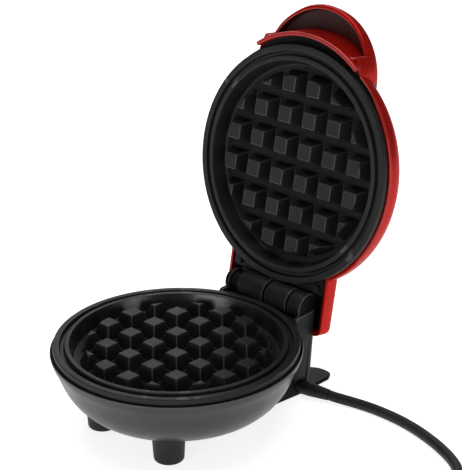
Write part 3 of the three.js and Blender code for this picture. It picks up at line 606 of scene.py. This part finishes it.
# tie round the coil
tie = Shape()
a = math.radians(250)
tx, ty = Vector((math.cos(a), math.sin(a), 0)), Vector((-math.sin(a), math.cos(a), 0))
outer = fillet([(23.0, 0.05), (36.7, 0.05), (36.7, 12.9), (23.0, 12.9)], [1.6, 1.6, 4.2, 4.2], 8, closed=True)
inner = fillet([(23.5, 0.5), (36.2, 0.5), (36.2, 12.4), (23.5, 12.4)], [1.3, 1.3, 3.8, 3.8], 8, closed=True)


def tie_ring(outline, w):
    return [tuple(COIL + tx * r + ty * w + Vector((0, 0, z))) for r, z in outline]


tie.loft([tie_ring(outer, -3.2), tie_ring(outer, 3.2), tie_ring(inner, 3.2), tie_ring(inner, -3.2), tie_ring(outer, -3.2)], cap=False)
tie_obj = tie.object("coil_tie", BASE, 35)
rounded(tie_obj, 0.12, 2, 40, dissolve=False)
finish_piece(tie_obj, "base", "black_plastic", BLACK, "cord_tie")

# strain relief at the exit: a smooth tapered sleeve
sleeve = fillet([(0, 0), (2.6, 0), (2.6, 6.7), (3.75, 6.95), (3.72, 12.0), (3.35, 17.5), (2.98, 22.3), (2.84, 22.7), (0, 22.7)], [0, 0.1, 0.1, 0.3, 3, 3, 0.4, 0.15, 0], 5)
bushing = Shape().bar(EXIT - EXIT_DIR * 5.9, EXIT, sleeve, 48)
finish_piece(bushing.object("strain_relief", BASE, 40), "base", "black_plastic", CORD, "cord_bushing")

# ------------------------------------------------------------------ bowl
bowl_profile = [(0, -34.8), (30, -34.8)] + spline([(36, -34.75), (40.0, -34.4), (43.5, -33.5), (47.2, -32.0), (50.2, -30.2), (54.5, -26), (57.4, -22), (59.5, -18), (61.1, -14), (62.7, -10), (63.9, -7.4), (64.6, -5.4)], 5)
lip = fillet([(64.6, -5.4), (65.0, -3.3), (62.75, -3.3), (62.7, -8.0)], [0, 0.55, 0.5, 0], 6)
inside = [(62.7, -8.0), (58.9, -14.4), (55.2, -22), (48.8, -28.9), (35.4, -32.6), (0, -32.6)]
shell = Shape().lathe(bowl_profile + lip[1:] + inside[1:], 224)
shell_obj = finish_piece(shell.object("bowl_shell", BASE, 30), "base", "grey_shell", GREY, "base_shell")
# painted shade: the top face of the lip, in the gap under the plate's flange, is near-black
shell_obj.data.materials.append(SHADE_BLACK)
inv = BASE.inverted()
for poly in shell_obj.data.polygons:
    c = inv @ poly.center
    if c.z > -3.5 and 62 < math.hypot(c.x, c.y) < 64.6:
        poly.material_index = 1

# ------------------------------------------------------------------ waffle plates
PITCH, CAVITY, MATE = 16.83, -8.3, 1.1


FIELD_R = 46.8


def clipped(outline, cx, cy, radius, corner):
    """The part of a convex outline inside a circle round the plate's axis, its cut side following the circle; the
    corner argument is not used.
    """
    n = len(outline)
    out = []
    for i in range(n):
        (ax, ay), (bx, by) = outline[i], outline[(i + 1) % n]
        ax, ay, bx, by = ax + cx, ay + cy, bx + cx, by + cy
        ia, ib = math.hypot(ax, ay) <= radius, math.hypot(bx, by) <= radius
        if ia:
            out.append((ax - cx, ay - cy))
        if ia != ib:
            dx, dy = bx - ax, by - ay
            A, B2, C2 = dx * dx + dy * dy, 2 * (ax * dx + ay * dy), ax * ax + ay * ay - radius * radius
            root = math.sqrt(max(B2 * B2 - 4 * A * C2, 0))
            t = [v for v in ((-B2 - root) / (2 * A), (-B2 + root) / (2 * A)) if 0 <= v <= 1][0]
            out.append((ax + dx * t - cx, ay + dy * t - cy))
            if ia:
                out.append("arc")
    if "arc" in out:
        k = out.index("arc")
        p, q = out[k - 1], out[(k + 1) % len(out)]
        a0, a1 = math.atan2(p[1] + cy, p[0] + cx), math.atan2(q[1] + cy, q[0] + cx)
        da = (a1 - a0 + math.pi) % (2 * math.pi) - math.pi
        out[k:k + 1] = [(radius * math.cos(a0 + da * m / 4) - cx, radius * math.sin(a0 + da * m / 4) - cy) for m in (1, 2, 3)]
    return out


def even(outline, count):
    """The outline walked at even steps from the point nearest to the +X direction, so that rings can be joined."""
    pts = [Vector((x, y)) for x, y in outline]
    n = len(pts)
    c = sum(pts, Vector((0, 0))) / n
    out = []
    for k in range(count):
        a = 2 * math.pi * (k + 0.5) / count
        d = Vector((math.cos(a), math.sin(a)))
        best = None
        for i in range(n):
            p, q = pts[i] - c, pts[(i + 1) % n] - c
            e = q - p
            det = d.x * -e.y + d.y * e.x
            if abs(det) < 1e-12:
                continue
            t = (p.x * -e.y + p.y * e.x) / det
            u = (d.x * p.y - d.y * p.x) / det
            if t > 0 and -1e-6 <= u <= 1 + 1e-6 and (best is None or t > best):
                best = t
        out.append(tuple(c + d * best))
    return out


def peg_ring(h, r):
    """A square with rounded corners and a point close to both ends of each straight side."""
    out = []
    for q in range(4):
        c, d = ((1, 1), (-1, 1), (-1, -1), (1, -1))[q]
        for k in range(6):
            a = math.radians(90 * q + 18 * k)
            out.append((c * (h - r) + r * math.cos(a), d * (h - r) + r * math.sin(a)))
        a, e = 90 * (q + 1), max(0.25, 0.12 * h)
        x, y = out[-1]
        step = (-math.sin(math.radians(a)), math.cos(math.radians(a)))
        out.append((x + step[0] * e, y + step[1] * e))
        far = 2 * (h - r) - e
        out.append((x + step[0] * far, y + step[1] * far))
    return out


def edge_highlights_and_channel_shade(o, matrix, z_of, tops):
    """The channel floors between the pegs get a painted shade, the pegs' sides and tops the plain coating, and their
    upright edges, and their top edges where asked, a lighter painted highlight.
    """
    back = matrix.inverted()
    for poly in o.data.polygons:
        c = back @ poly.center
        z = z_of(c.z) - CAVITY
        if z < 1.0 and math.hypot(c.x, c.y) < 51.8 and z > -0.3:
            # painted shade on the channel floors
            poly.material_index = 3
            continue
        if not 0.9 < z < 7.6 or math.hypot(c.x, c.y) > 51:
            continue
        poly.material_index = 4
        if z > 7.495:
            continue
        dx = abs(c.x - (math.floor(c.x / PITCH) + 0.5) * PITCH)
        dy = abs(c.y - (math.floor(c.y / PITCH) + 0.5) * PITCH)
        h = max(dx, dy)
        if h < 3.6 or h > 6.4:
            continue
        if min(dx, dy) > h - 0.36 or (tops and z > 7.05):
            # painted highlight on the pegs' edges
            poly.material_index = 2


def waffle_plate(fixings, drop):
    s = Shape()
    prof = fillet([
        (0, CAVITY), (53.1, CAVITY), (55.0, 0.4), (57.2, 0.4), (57.6, -2.2), (59.5, -2.2), (60.0, 0.0), (63.0, 0.0),
        (63.3, -0.4), (63.3, -3.1), (57.0, -3.9), (55.4, -11.5), (0, -11.5),
    ], [0, 1.6, 0.45, 0.4, 0.5, 0.5, 0.35, 0.3, 0.3, 0.4, 0.6, 0.8, 0], 6)
    s.lathe(prof, 224)
    # pegs: a flared foot, sloping sides, soft top edge
    section = [(7.4, -0.15), (6.7, 0.02), (6.3, 0.28), (6.08, 0.75), (5.92, 1.3), (5.83, 1.6), (5.0, 4.6), (4.3, 6.85), (4.2, 7.14), (4.1, 7.3), (3.97, 7.42), (3.82, 7.48), (3.66, 7.5), (3.4, 7.5), (3.1, 7.5), (2.7, 7.5), (1.8, 7.5)]
    for i in range(-3, 3):
        for j in range(-3, 3):
            x, y = (i + 0.5) * PITCH, (j + 0.5) * PITCH
            if math.hypot(x, y) > 50:
                continue
            partial = any(math.hypot(abs(x) + h, abs(y) + h) > FIELD_R - 0.6 for h, z in section)
            rings = []
            for h, z in section:
                r = 0.5 if z < 7 else 0.5 - 0.3 * (z - 7)
                square = [(-h, -h), (h, -h), (h, h), (-h, h)]
                if partial:
                    drop_r = 0.0 if h > 4.2 else 4.2 - h
                    limit = FIELD_R + (7.5 - z) * 0.34 + (h - (5.92 - (z - 1.3) * 0.3) if z < 1.3 else 0) - drop_r
                    cut_square = clipped(square, x, y, limit, r)
                    if len(cut_square) < 3:
                        continue
                    ring = even(fillet(cut_square, [r] * len(cut_square), 3, closed=True), 144)
                else:
                    ring = peg_ring(h, r)
                rings.append([(x + px, y + py, CAVITY + z) for px, py in ring])
            m, k = len(rings[0]), len(s.verts)
            s.loft(rings, cap=False)
            top = k + (len(rings) - 1) * m
            s.verts.append((sum(p[0] for p in rings[-1]) / m, sum(p[1] for p in rings[-1]) / m, CAVITY + 7.5))
            s.faces += [(top + i, top + (i + 1) % m, len(s.verts) - 1) for i in range(m)]
            s.faces.append(tuple(reversed(range(k, k + m))))
    for x, y in fixings:
        s.lathe([(0, -10.8), (3.5, -10.8), (3.5, -drop), (1.9, -drop), (1.9, -13.2), (0, -13.2)], 40, x, y)
    return s


FIX = [(24.4, -30.6), (-24.4, -30.6), (0, 33)]
LID_FIX = [(0, -31), (26.8, 15.5), (-26.8, 15.5)]
lower = waffle_plate(FIX, 21.2)
lower_obj = finish_piece(lower.object("lower_waffle_plate", BASE, 28), "base", "nonstick", COATING, "lower_plate")
lower_obj.data.materials.append(WALL)
inv = BASE.inverted()
for poly in lower_obj.data.polygons:
    c = inv @ poly.center
    r = math.hypot(c.x, c.y)
    if 52.4 < r < 55.2 and -7.6 < c.z < 0.35 and (inv.to_3x3() @ poly.normal).normalized().z > 0:
        poly.material_index = 1
lower_obj.data.materials.append(PEG_EDGE_HIGHLIGHT)
lower_obj.data.materials.append(CHANNEL_SHADE)
lower_obj.data.materials.append(PEGS)
edge_highlights_and_channel_shade(lower_obj, BASE, lambda z: z, False)
upper = waffle_plate(LID_FIX, 19.0)
upper.verts = [(x, y, MATE - z) for x, y, z in upper.verts]
upper_obj = finish_piece(upper.object("upper_waffle_plate", LID, 28), "lid", "nonstick", COATING, "upper_plate")
upper_obj.data.materials.append(WALL)
upper_obj.data.materials.append(PEG_EDGE_HIGHLIGHT)
upper_obj.data.materials.append(CHANNEL_SHADE)
upper_obj.data.materials.append(PEGS)
edge_highlights_and_channel_shade(upper_obj, LID, lambda z: MATE - z, True)

# ------------------------------------------------------------------ front feet
for tag, x in (("right", 24.4), ("left", -24.4)):
    s = Shape()
    prof = fillet([(4.2, -39.0), (4.2, -46.5), (7.0, -46.5), (7.75, -45.6), (8.5, -33.4), (9.3, -33.2), (9.3, -31.6), (0, -31.6), (0, -39.0)], [0, 0.3, 1.2, 0.9, 0.3, 0.35, 0, 0, 0], 5)
    s.lathe([(0, -39.0)] + prof[:-1], 72, x, -30.6)
    o = s.object("front_foot_" + tag + "_rubber", BASE, 35)
    bowl_cut = Shape().lathe([(0, -34.95), (36, -34.9), (40, -34.55), (43.5, -33.65), (47.2, -32.15), (50.3, -30.35), (54.6, -26.1), (54.6, -20), (0, -20)], 160).object("cut", BASE)
    boolean(o, bowl_cut, "DIFFERENCE")
    smooth(o, 35)
    finish_piece(o, "base", "foot_rubber", RUBBER, "front_foot_" + tag)

# ------------------------------------------------------------------ lid shell, laid out closed
dome_curve = spline([(65.0, 8.9), (64.6, 11.3), (63.3, 13.9), (60.7, 16.5), (57.1, 18.9), (52.8, 21.5), (47.9, 23.9), (42.4, 26.4), (36.5, 28.9), (30.4, 31.4), (24, 33.6), (16, 35.6), (8, 36.9), (0, 37.3)], 5)
edge = fillet([(62.6, 9.0), (62.6, 4.9), (64.95, 4.9), (65.0, 8.9)], [0, 0.5, 1.1, 0], 6)
dome_in = [(0, 35.0), (11.7, 34.1), (23.3, 31.4), (35.6, 26.8), (46.8, 22.2), (55.6, 17.4), (60.9, 13.0), (62.6, 9.0)]
dome = Shape().lathe(dome_in + edge[1:] + dome_curve[1:], 224)
dome_obj = dome.object("dome", LID, 30)
boolean(dome_obj, Shape().box(-33.1, 33.1, 30, 84.2, -2, 9.0).object("cut", LID), "DIFFERENCE")


def dome_core():
    """The dome's filled body, a little smaller, to trim what would stand inside the lid."""
    return Shape().lathe([(0, 0), (62.9, 0), (63.4, 8.8), (61.6, 13.2), (58.6, 16.0), (55.8, 18.0), (51.6, 20.4), (46.8, 22.6), (41.2, 25.2), (35.2, 27.8), (28.8, 30.2), (22.8, 32.2), (15, 34.2), (7.4, 35.5), (0, 36)], 160).object("cut", LID)


HOOD_Y = -48.3


def rim_height(a):
    """Height of the hood's lower edge at an angle in degrees from its far end."""
    a = abs(a)
    z = ease(13.9, 12.3, (a - 30) / 30)
    return ease(z, 5.1, (a - 63.3) / 1.6)


def hood_section(z):
    return fillet([(0, 17.9), (33.5, 17.9), (34.1, 15.2), (33.6, z), (35.7, z), (36.4, 16.2), (35.6, 19.6), (33.6, 21.6), (28, 21.9), (0, 22.0)],
                  [0, 0.9, 0, 0.7, 0.9, 0, 2.4, 2.4, 6, 0], 6)


fine = [62.6, 63.0, 63.3, 63.6, 63.9, 64.1, 64.4, 64.7, 65.0, 65.8, 67.5, 70.0, 74.0]
turns = [k * 2.0 - 62 for k in range(63)] + fine + [k * 4.0 + 78 for k in range(52)] + [360 - v for v in reversed(fine)]
hood = Shape()
rings = []
for turn in turns:
    a = math.radians(turn)
    rings.append([(r * math.sin(a), HOOD_Y - r * math.cos(a), z) for r, z in hood_section(rim_height((turn + 180) % 360 - 180))])
n = len(rings[0])
hood.verts = [p for ring in rings for p in ring]
for k in range(len(rings)):
    m = (k + 1) % len(rings)
    for i in range(n - 1):
        hood.faces.append((k * n + i, k * n + i + 1, m * n + i + 1, m * n + i))
hood_obj = hood.object("hood", LID, 30)
boolean(hood_obj, dome_core(), "DIFFERENCE")

CHIN_Y, CHIN_R = -11.3, 58.7
half = math.degrees(math.asin(33.2 / CHIN_R))
chin_section = fillet([(CHIN_R - 2.1, 1.5), (CHIN_R, 1.5), (CHIN_R + 1.35, 18.2), (CHIN_R - 5.8, 18.2), (CHIN_R - 5.8, 5.2), (CHIN_R - 2.1, 5.2)], [0.5, 0.6, 0, 0, 0, 0.4], 4, closed=True)
chin = Shape().arc_sweep(chin_section, -half, half, 72, 0, CHIN_Y)
chin_obj = chin.object("chin", LID, 30)
lip_half = half + 1.8
lip_section = fillet([(CHIN_R - 2.12, 1.48), (CHIN_R + 0.02, 1.48), (CHIN_R + 0.2, 5.5), (CHIN_R - 2.12, 5.5)], [0.5, 0.6, 0.3, 0.3], 4, closed=True)
lip_obj = Shape().arc_sweep(lip_section, -lip_half, lip_half, 78, 0, CHIN_Y).object("lip", LID, 30)
rounded(lip_obj, 0.8, 4, 50, dissolve=False)
bake(lip_obj)
rounded(chin_obj, 0.3, 3, 50, dissolve=False)
bake(chin_obj)
boolean(chin_obj, lip_obj, "UNION")

def bead(path, radius, seg=14):
    """A rounded ridge along a smooth line."""
    line = [Vector(p) for p in spline(path, 6)]
    rings = []
    for i, p in enumerate(line):
        t = (line[min(i + 1, len(line) - 1)] - line[max(i - 1, 0)]).normalized()
        u = t.cross(Vector((0, 0, 1))).normalized()
        v = t.cross(u)
        s = math.sqrt(max(0.0, 1 - (2.0 * i / (len(line) - 1) - 1) ** 6)) * radius + 0.02
        rings.append([tuple(p + u * s * math.cos(2 * math.pi * k / seg) + v * s * math.sin(2 * math.pi * k / seg)) for k in range(seg)])
    return Shape().loft(rings)


LEDGE = [(31.3, -64.0, 13.0), (30.85, -63.75, 11.2), (30.35, -63.4, 8.8), (29.6, -63.0, 6.3), (28.7, -62.95, 4.3), (27.9, -63.15, 3.2)]
ledges = [bead([(side * x, y, z) for x, y, z in LEDGE], 0.62).object("ledge", LID, 40) for side in (-1, 1)]

tail_out = Shape().box(-34.5, 34.5, 46, 86.5, 4.7, 15.4)
tail_obj = tail_out.object("tail", LID, 30)


def bevel_edges(o, matrix, test, offset, segments):
    inv = matrix.inverted()
    bm = bmesh.new()
    bm.from_mesh(o.data)
    picked = [e for e in bm.edges if test(inv @ e.verts[0].co, inv @ e.verts[1].co)]
    bmesh.ops.bevel(bm, geom=picked, offset=offset * MM, offset_type="OFFSET", segments=segments, profile=0.5, affect="EDGES", clamp_overlap=False)
    bmesh.ops.recalc_face_normals(bm, faces=bm.faces)
    bm.to_mesh(o.data)
    bm.free()
    o.data.update()


def near(v, t):
    return abs(v - t) < 0.01


bevel_edges(tail_obj, LID, lambda p, q: (near(p.z, 15.4) and near(q.z, 15.4) and not (near(p.y, 46) and near(q.y, 46))) or (near(p.y, 86.5) and near(q.y, 86.5) and near(p.x, q.x)), 4.2, 8)
tail_in = Shape().box(-33.1, 33.1, 40, 84.6, -2, 13.4).object("cut", LID)
bevel_edges(tail_in, LID, lambda p, q: (near(p.z, 13.4) and near(q.z, 13.4) and not (near(p.y, 40) and near(q.y, 40))) or (near(p.y, 84.6) and near(q.y, 84.6) and near(p.x, q.x)), 2.8, 6)
boolean(tail_obj, tail_in, "DIFFERENCE")
boolean(tail_obj, Shape().box(-28.9, 28.9, 78, 92, -2, 10.1).object("cut", LID), "DIFFERENCE")
boolean(tail_obj, Shape().box(-29.2, 29.2, 78, 92, -2, 7.6).object("cut", LID), "DIFFERENCE")
boolean(tail_obj, dome_core(), "DIFFERENCE")
rounded(tail_obj, 0.45, 3, 40, dissolve=False)
bake(tail_obj)
lid_obj = join("lid_dome_and_handle", dome_obj, hood_obj, chin_obj, tail_obj, *ledges)
smooth(lid_obj, 34)
finish_piece(lid_obj, "lid", "red_lacquer", RED, "lid_shell")
lid_obj.data.materials.append(INSIDE)
lid_obj.data.materials.append(SHADE_BLACK)
lid_obj.data.materials.append(RED_EDGE_HIGHLIGHT)
lid_obj.data.materials.append(RED_LIP)
inv = LID.inverted()
for poly in lid_obj.data.polygons:
    c = inv @ poly.center
    n = (inv.to_3x3() @ poly.normal).normalized()
    rh = math.hypot(c.x, c.y - HOOD_Y)
    toward = (n.x * c.x + n.y * (c.y - HOOD_Y)) / max(rh, 1)
    ceiling = c.y < -50 and (abs(c.z - 17.9) < 0.5 and n.z < -0.7 and rh < 34.6 or 33 < rh < 34.6 and toward < -0.6 and c.z > 12.2)
    crescent = 4.0 < c.z < 6.5 and n.z < -0.7 and c.y < 0 and math.hypot(c.x, c.y - CHIN_Y) < CHIN_R - 1.9 and math.hypot(c.x, c.y) > 62
    inner = n.z < 0.3 and math.hypot(c.x, c.y) < 62.4 and c.z > 5
    under_tail = 46 < c.y < 84.9 and abs(c.x) < 33.3 and c.z < 13.6 and (abs(n.x) > 0.5 and n.x * c.x < 0 or n.z < -0.6 and c.z > 9 or n.y < -0.5)
    # painted shade: the crescent between the plate and the lip is near-black
    if crescent:
        poly.material_index = 2
    # darker red-black on the hood's ceiling, the shell's inner faces and under the handle: partly the bare inside of
    # the moulding, partly painted shade
    elif ceiling or inner or under_tail:
        poly.material_index = 1
    else:
        r = math.hypot(c.x, c.y)
        turn = math.degrees(math.atan2(abs(c.x), HOOD_Y - c.y))
        hood_edge = 33.55 < rh < 34.4 and c.y < -60 and turn < 63.4 and c.z < rim_height(turn) + 0.3
        ledge = c.y < -62 and 27 < abs(c.x) < 32 and min((Vector((abs(c.x), c.y, c.z)) - Vector(p)).length for p in spline(LEDGE, 6)) < 0.66
        shell_edge = 4.8 < c.z < 5.6 and 63.9 < r < 64.9 and n.z < -0.3 and c.y < 40
        from_chin = math.hypot(c.x, c.y - CHIN_Y)
        lip_face = c.z < 5.5 and c.y < -50 and CHIN_R - 2.4 < from_chin < CHIN_R + 0.4
        lip_edge = c.y < -50 and 1.4 < c.z < 3.4 and from_chin > CHIN_R - 0.55 and n.z < 0.1
        # painted highlight: lighter red on the hood's rim edge, the ledge beads and the lip's lower edge
        if hood_edge or ledge or lip_edge:
            poly.material_index = 3
        elif lip_face or shell_edge:
            poly.material_index = 4

# indicator: lens in a thin collar on top of the lid
lens = Shape().lathe(fillet([(0, 33.7), (4.3, 33.7), (4.3, 34.3), (2.8, 34.4), (2.8, 37.5), (1.7, 37.95), (0, 38.05)], [0, 0.1, 0.1, 0.1, 0.35, 0.5, 0], 4), 48)
finish_piece(lens.object("indicator_window", LID, 35), "lid", "lens", LENS, "indicator_lens")

# hinge: the leaf and the bracket with open joints between their knuckles and rounded rims; the joints' floors and the
# knuckles' hollow ends get painted shade, the rims a lighter painted highlight
def knuckle_piece(source, name, body, matrix, grooves, width):
    """Grooves are [x0, x1, inner radius, outer radius] round the hinge's axis, in the closed layout of the body."""
    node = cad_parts[source]
    mesh = node.data.copy()
    mesh.transform(node.matrix_world)
    o = bpy.data.objects.new(name, mesh)
    bpy.context.scene.collection.objects.link(o)
    w = o.modifiers.new("weld", "WELD")
    w.merge_threshold = 0.00001
    bake(o)
    for x0, x1, r0, r1 in grooves:
        loop = [(r0, 0), (r1, 0), (r1, x1 - x0), (r0, x1 - x0)] + ([(r0, 0)] if r0 else [])
        ring = Shape().bar((x0, AXIS_Y, AXIS_Z), (x1, AXIS_Y, AXIS_Z), loop, 64)
        boolean(o, ring.object("cut", matrix), "DIFFERENCE")
    rounded(o, width, 2, 35)
    finish_piece(o, body, "black_plastic", HINGE, source)
    o.data.materials.append(SHADE_BLACK)
    o.data.materials.append(RIM_HIGHLIGHT_BLACK)
    return o


def knuckle(x0, x1, radius, edge, hollow=0.0, cut_low=False):
    """A clean turned knuckle with rounded rims; hollow is the radius of a shallow recess in its far end."""
    length = x1 - x0
    if hollow:
        prof = fillet([(0, 0), (radius, 0), (radius, length), (hollow, length), (hollow, length - 0.7), (0, length - 0.7)], [0, edge, edge, 0.15, 0, 0], 5)
    else:
        prof = fillet([(0, 0), (radius, 0), (radius, length), (0, length)], [0, edge, edge, 0], 5)
    o = Shape().bar((x0, AXIS_Y, AXIS_Z), (x1, AXIS_Y, AXIS_Z), prof, 96).object("knuckle", BASE, 25)
    if cut_low:
        boolean(o, Shape().box(-40, 40, 50, 90, -20, -0.15).object("cut", BASE), "DIFFERENCE")
        smooth(o, 25)
    return o


def hinge_group(name, body, source, grooves, knuckles):
    plain = knuckle_piece(source, name + "_body", body, BASE, grooves, 0.3)
    bake(plain)
    o = join(name, plain, *[knuckle(*k) for k in knuckles])
    finish_piece(o, body, "black_plastic", HINGE, source)
    o.data.materials.append(SHADE_BLACK)
    o.data.materials.append(RIM_HIGHLIGHT_BLACK)
    back = BASE.inverted()
    for poly in o.data.polygons:
        c = back @ poly.center
        n = (back.to_3x3() @ poly.normal).normalized()
        r = math.hypot(c.y - AXIS_Y, c.z - AXIS_Z)
        # painted shade: near-black on the floors of the open joints
        poly.material_index = 1 if r < 7.3 and abs(n.x) < 0.3 and abs(c.x) < 28.6 and c.z > -2 else 0
        for x0, x1, radius, edge, *rest in knuckles:
            # painted highlight on the knuckles' rounded rims, painted shade in their hollow ends
            if radius - edge - 0.02 < r < radius - 0.02 and x0 - 0.01 < c.x < x1 + 0.01 and 0.12 < abs(n.x) < 0.98:
                poly.material_index = 2
            if rest and rest[0] and r < rest[0] + 0.05 and c.x > x1 - 0.8 and abs(n.x) > 0.5:
                poly.material_index = 1
    return o


leaf = hinge_group("hinge_leaf_moulding", "lid", "hinge_leaf", [(-17.9, 17.9, 6.9, 8.6)], [(-16.9, -0.15, 7.9, 0.55), (1.45, 16.7, 7.9, 0.55)])
bracket = hinge_group("hinge_bracket_moulding", "base", "hinge_bracket", [(18.0, 27.2, 6.9, 8.4), (-28.6, -25.2, 5.9, 8)],
                      [(18.5, 26.0, 7.9, 0.55), (25.3, 26.9, 7.9, 0.5, 6.9, True), (-19.4, -18.2, 6.7, 0.35), (-28.2, -25.4, 6.5, 0.5, 0.0, True)])
inv = BASE.inverted()

# rear stand: the CAD's body with a slight backward lean of its rear wall
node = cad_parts["rear_stand"]
mesh = node.data.copy()
mesh.transform(node.matrix_world)
for v in mesh.vertices:
    q = inv @ v.co
    if q.z > -44.2 and q.y < 78:
        lean = (4.2 * (q.z + 43.9) / 43.4 - 2.3) * max(0.0, min(1.0, (q.y - 64) / 8))
        v.co = BASE @ Vector((q.x, q.y + lean, q.z))
stand_obj = bpy.data.objects.new("rear_stand_moulding", mesh)
bpy.context.scene.collection.objects.link(stand_obj)
w = stand_obj.modifiers.new("weld", "WELD")
w.merge_threshold = 0.00001
d = stand_obj.modifiers.new("flat", "DECIMATE")
d.decimate_type = "DISSOLVE"
d.angle_limit = math.radians(1.0)
bake(stand_obj)
finish_piece(stand_obj, "base", "grey_shell", STAND, "rear_stand")
stand_obj.data.materials.append(RIM_HIGHLIGHT_GREY)
stand_obj.data.materials.append(SHADED)
bm = bmesh.new()
bm.from_mesh(stand_obj.data)
for face in bm.faces:
    face.material_index = 2 if (inv @ face.calc_center_median()).z < -43.8 and abs(face.normal.z) < 0.35 else 0
# painted highlight: the top edges get a small bevel in a lighter grey
top_edges = [e for e in bm.edges if e.calc_face_angle(0) > math.radians(40) and min((inv @ v.co).z for v in e.verts) > -9]
bmesh.ops.bevel(bm, geom=top_edges, offset=0.35 * MM, offset_type="OFFSET", segments=2, profile=0.5, affect="EDGES", clamp_overlap=False, material=1)
bm.to_mesh(stand_obj.data)
bm.free()
smooth(stand_obj, 32)

# ------------------------------------------------------------------ the CAD's own pieces: better finish and softened edges
LOOK = {
    # the black base cover gets the painted-shade black: its own black, deepened by painted shade under the stand
    "base_cover": (SHADE_BLACK, 0.35),
    "hinge_pin": (STEEL, 0.25), "hinge_bushing": (STEEL, 0.2),
    "foot_screw_right": (STEEL, 0.2), "foot_screw_left": (STEEL, 0.2), "rear_body_screw": (STEEL, 0.2), "cover_screw_right": (STEEL, 0.2), "cover_screw_left": (STEEL, 0.2),
    "lower_heating_element": (STEEL, 0), "lower_heat_shield": (ALUMINIUM, 0.1), "thermostat": (STEEL, 0.25), "terminal_block": (CERAMIC, 0.3),
    "thermostat_lead": (LEAD_RED, 0), "hinge_lead": (LEAD_RED, 0), "cord_stub": (CORD, 0), "cord_clamp": (BLACK, 0.3), "clamp_screw_a": (STEEL, 0.15), "clamp_screw_b": (STEEL, 0.15),
    "live_lead": (LEAD_BROWN, 0), "neutral_lead": (LEAD_BLUE, 0),
    "leaf_screw_right": (HINGE, 0.2), "leaf_screw_left": (HINGE, 0.2), "upper_heating_element": (STEEL, 0), "upper_heat_shield": (ALUMINIUM, 0.1),
    "plate_screw_a": (STEEL, 0.2), "plate_screw_b": (STEEL, 0.2), "plate_screw_c": (STEEL, 0.2), "thermal_fuse": (CERAMIC, 0.2), "lid_lead": (LEAD_RED, 0), "indicator_lamp": (LAMP, 0.1),
}
for name, (material, width) in LOOK.items():
    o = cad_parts[name]
    if not o.material_slots:
        o.data.materials.append(material)
    for s in o.material_slots:
        s.material = material
    if width:
        rounded(o, width)
    else:
        w = o.modifiers.new("weld", "WELD")
        w.merge_threshold = 0.00001
        n = o.modifiers.new("normals", "WEIGHTED_NORMAL")

# ------------------------------------------------------------------ floor, light
floor = Shape().box(-6000, 6000, -6000, 6000, -20, 0)
floor_obj = floor.object("floor", Matrix.Scale(MM, 4) @ Matrix.Translation((0, 0, -0.02)), 30)
floor_mat = finish_material("floor_paper", (0.86, 0.86, 0.86), (0.88, 0.88, 0.88), (0.7, 0.8), colour_scale=3, spec=0.2)
glow = next(n for n in floor_mat.node_tree.nodes if n.type == "BSDF_PRINCIPLED")
glow.inputs["Emission Color"].default_value = (1, 1, 1, 1)
glow.inputs["Emission Strength"].default_value = 0.8
floor_obj.data.materials.append(floor_mat)

world = bpy.data.worlds.new("studio")
bpy.context.scene.world = world
world.use_nodes = True
bg = next(n for n in world.node_tree.nodes if n.type == "BACKGROUND")
bg.inputs["Color"].default_value = (1, 1, 1, 1)
bg.inputs["Strength"].default_value = 0.12


def softbox(name, location, target, size, power, tint=(1, 1, 1)):
    light = bpy.data.lights.new(name, "AREA")
    light.shape = "RECTANGLE"
    light.size, light.size_y = size
    light.energy = power
    light.color = tint
    o = bpy.data.objects.new(name, light)
    o.location = location
    o.rotation_euler = (Vector(target) - Vector(location)).to_track_quat("-Z", "Y").to_euler()
    bpy.context.scene.collection.objects.link(o)
    return o


softbox("overhead", (-0.1, 0.1, 1.45), (0, 0, 0), (1.3, 1.3), 12.0)
softbox("rear_left", (-0.85, 0.95, 0.62), (0, 0, 0.06), (0.9, 0.8), 3.0)
softbox("right", (1.25, 0.0, 0.24), (0, 0, 0.06), (0.5, 0.34), 1.4)
softbox("front", (0.14, -1.24, 0.26), (0, 0, 0.08), (0.74, 0.36), 3.4)

bpy.context.scene.view_settings.view_transform = "Standard"
bpy.context.scene.view_settings.look = "None"
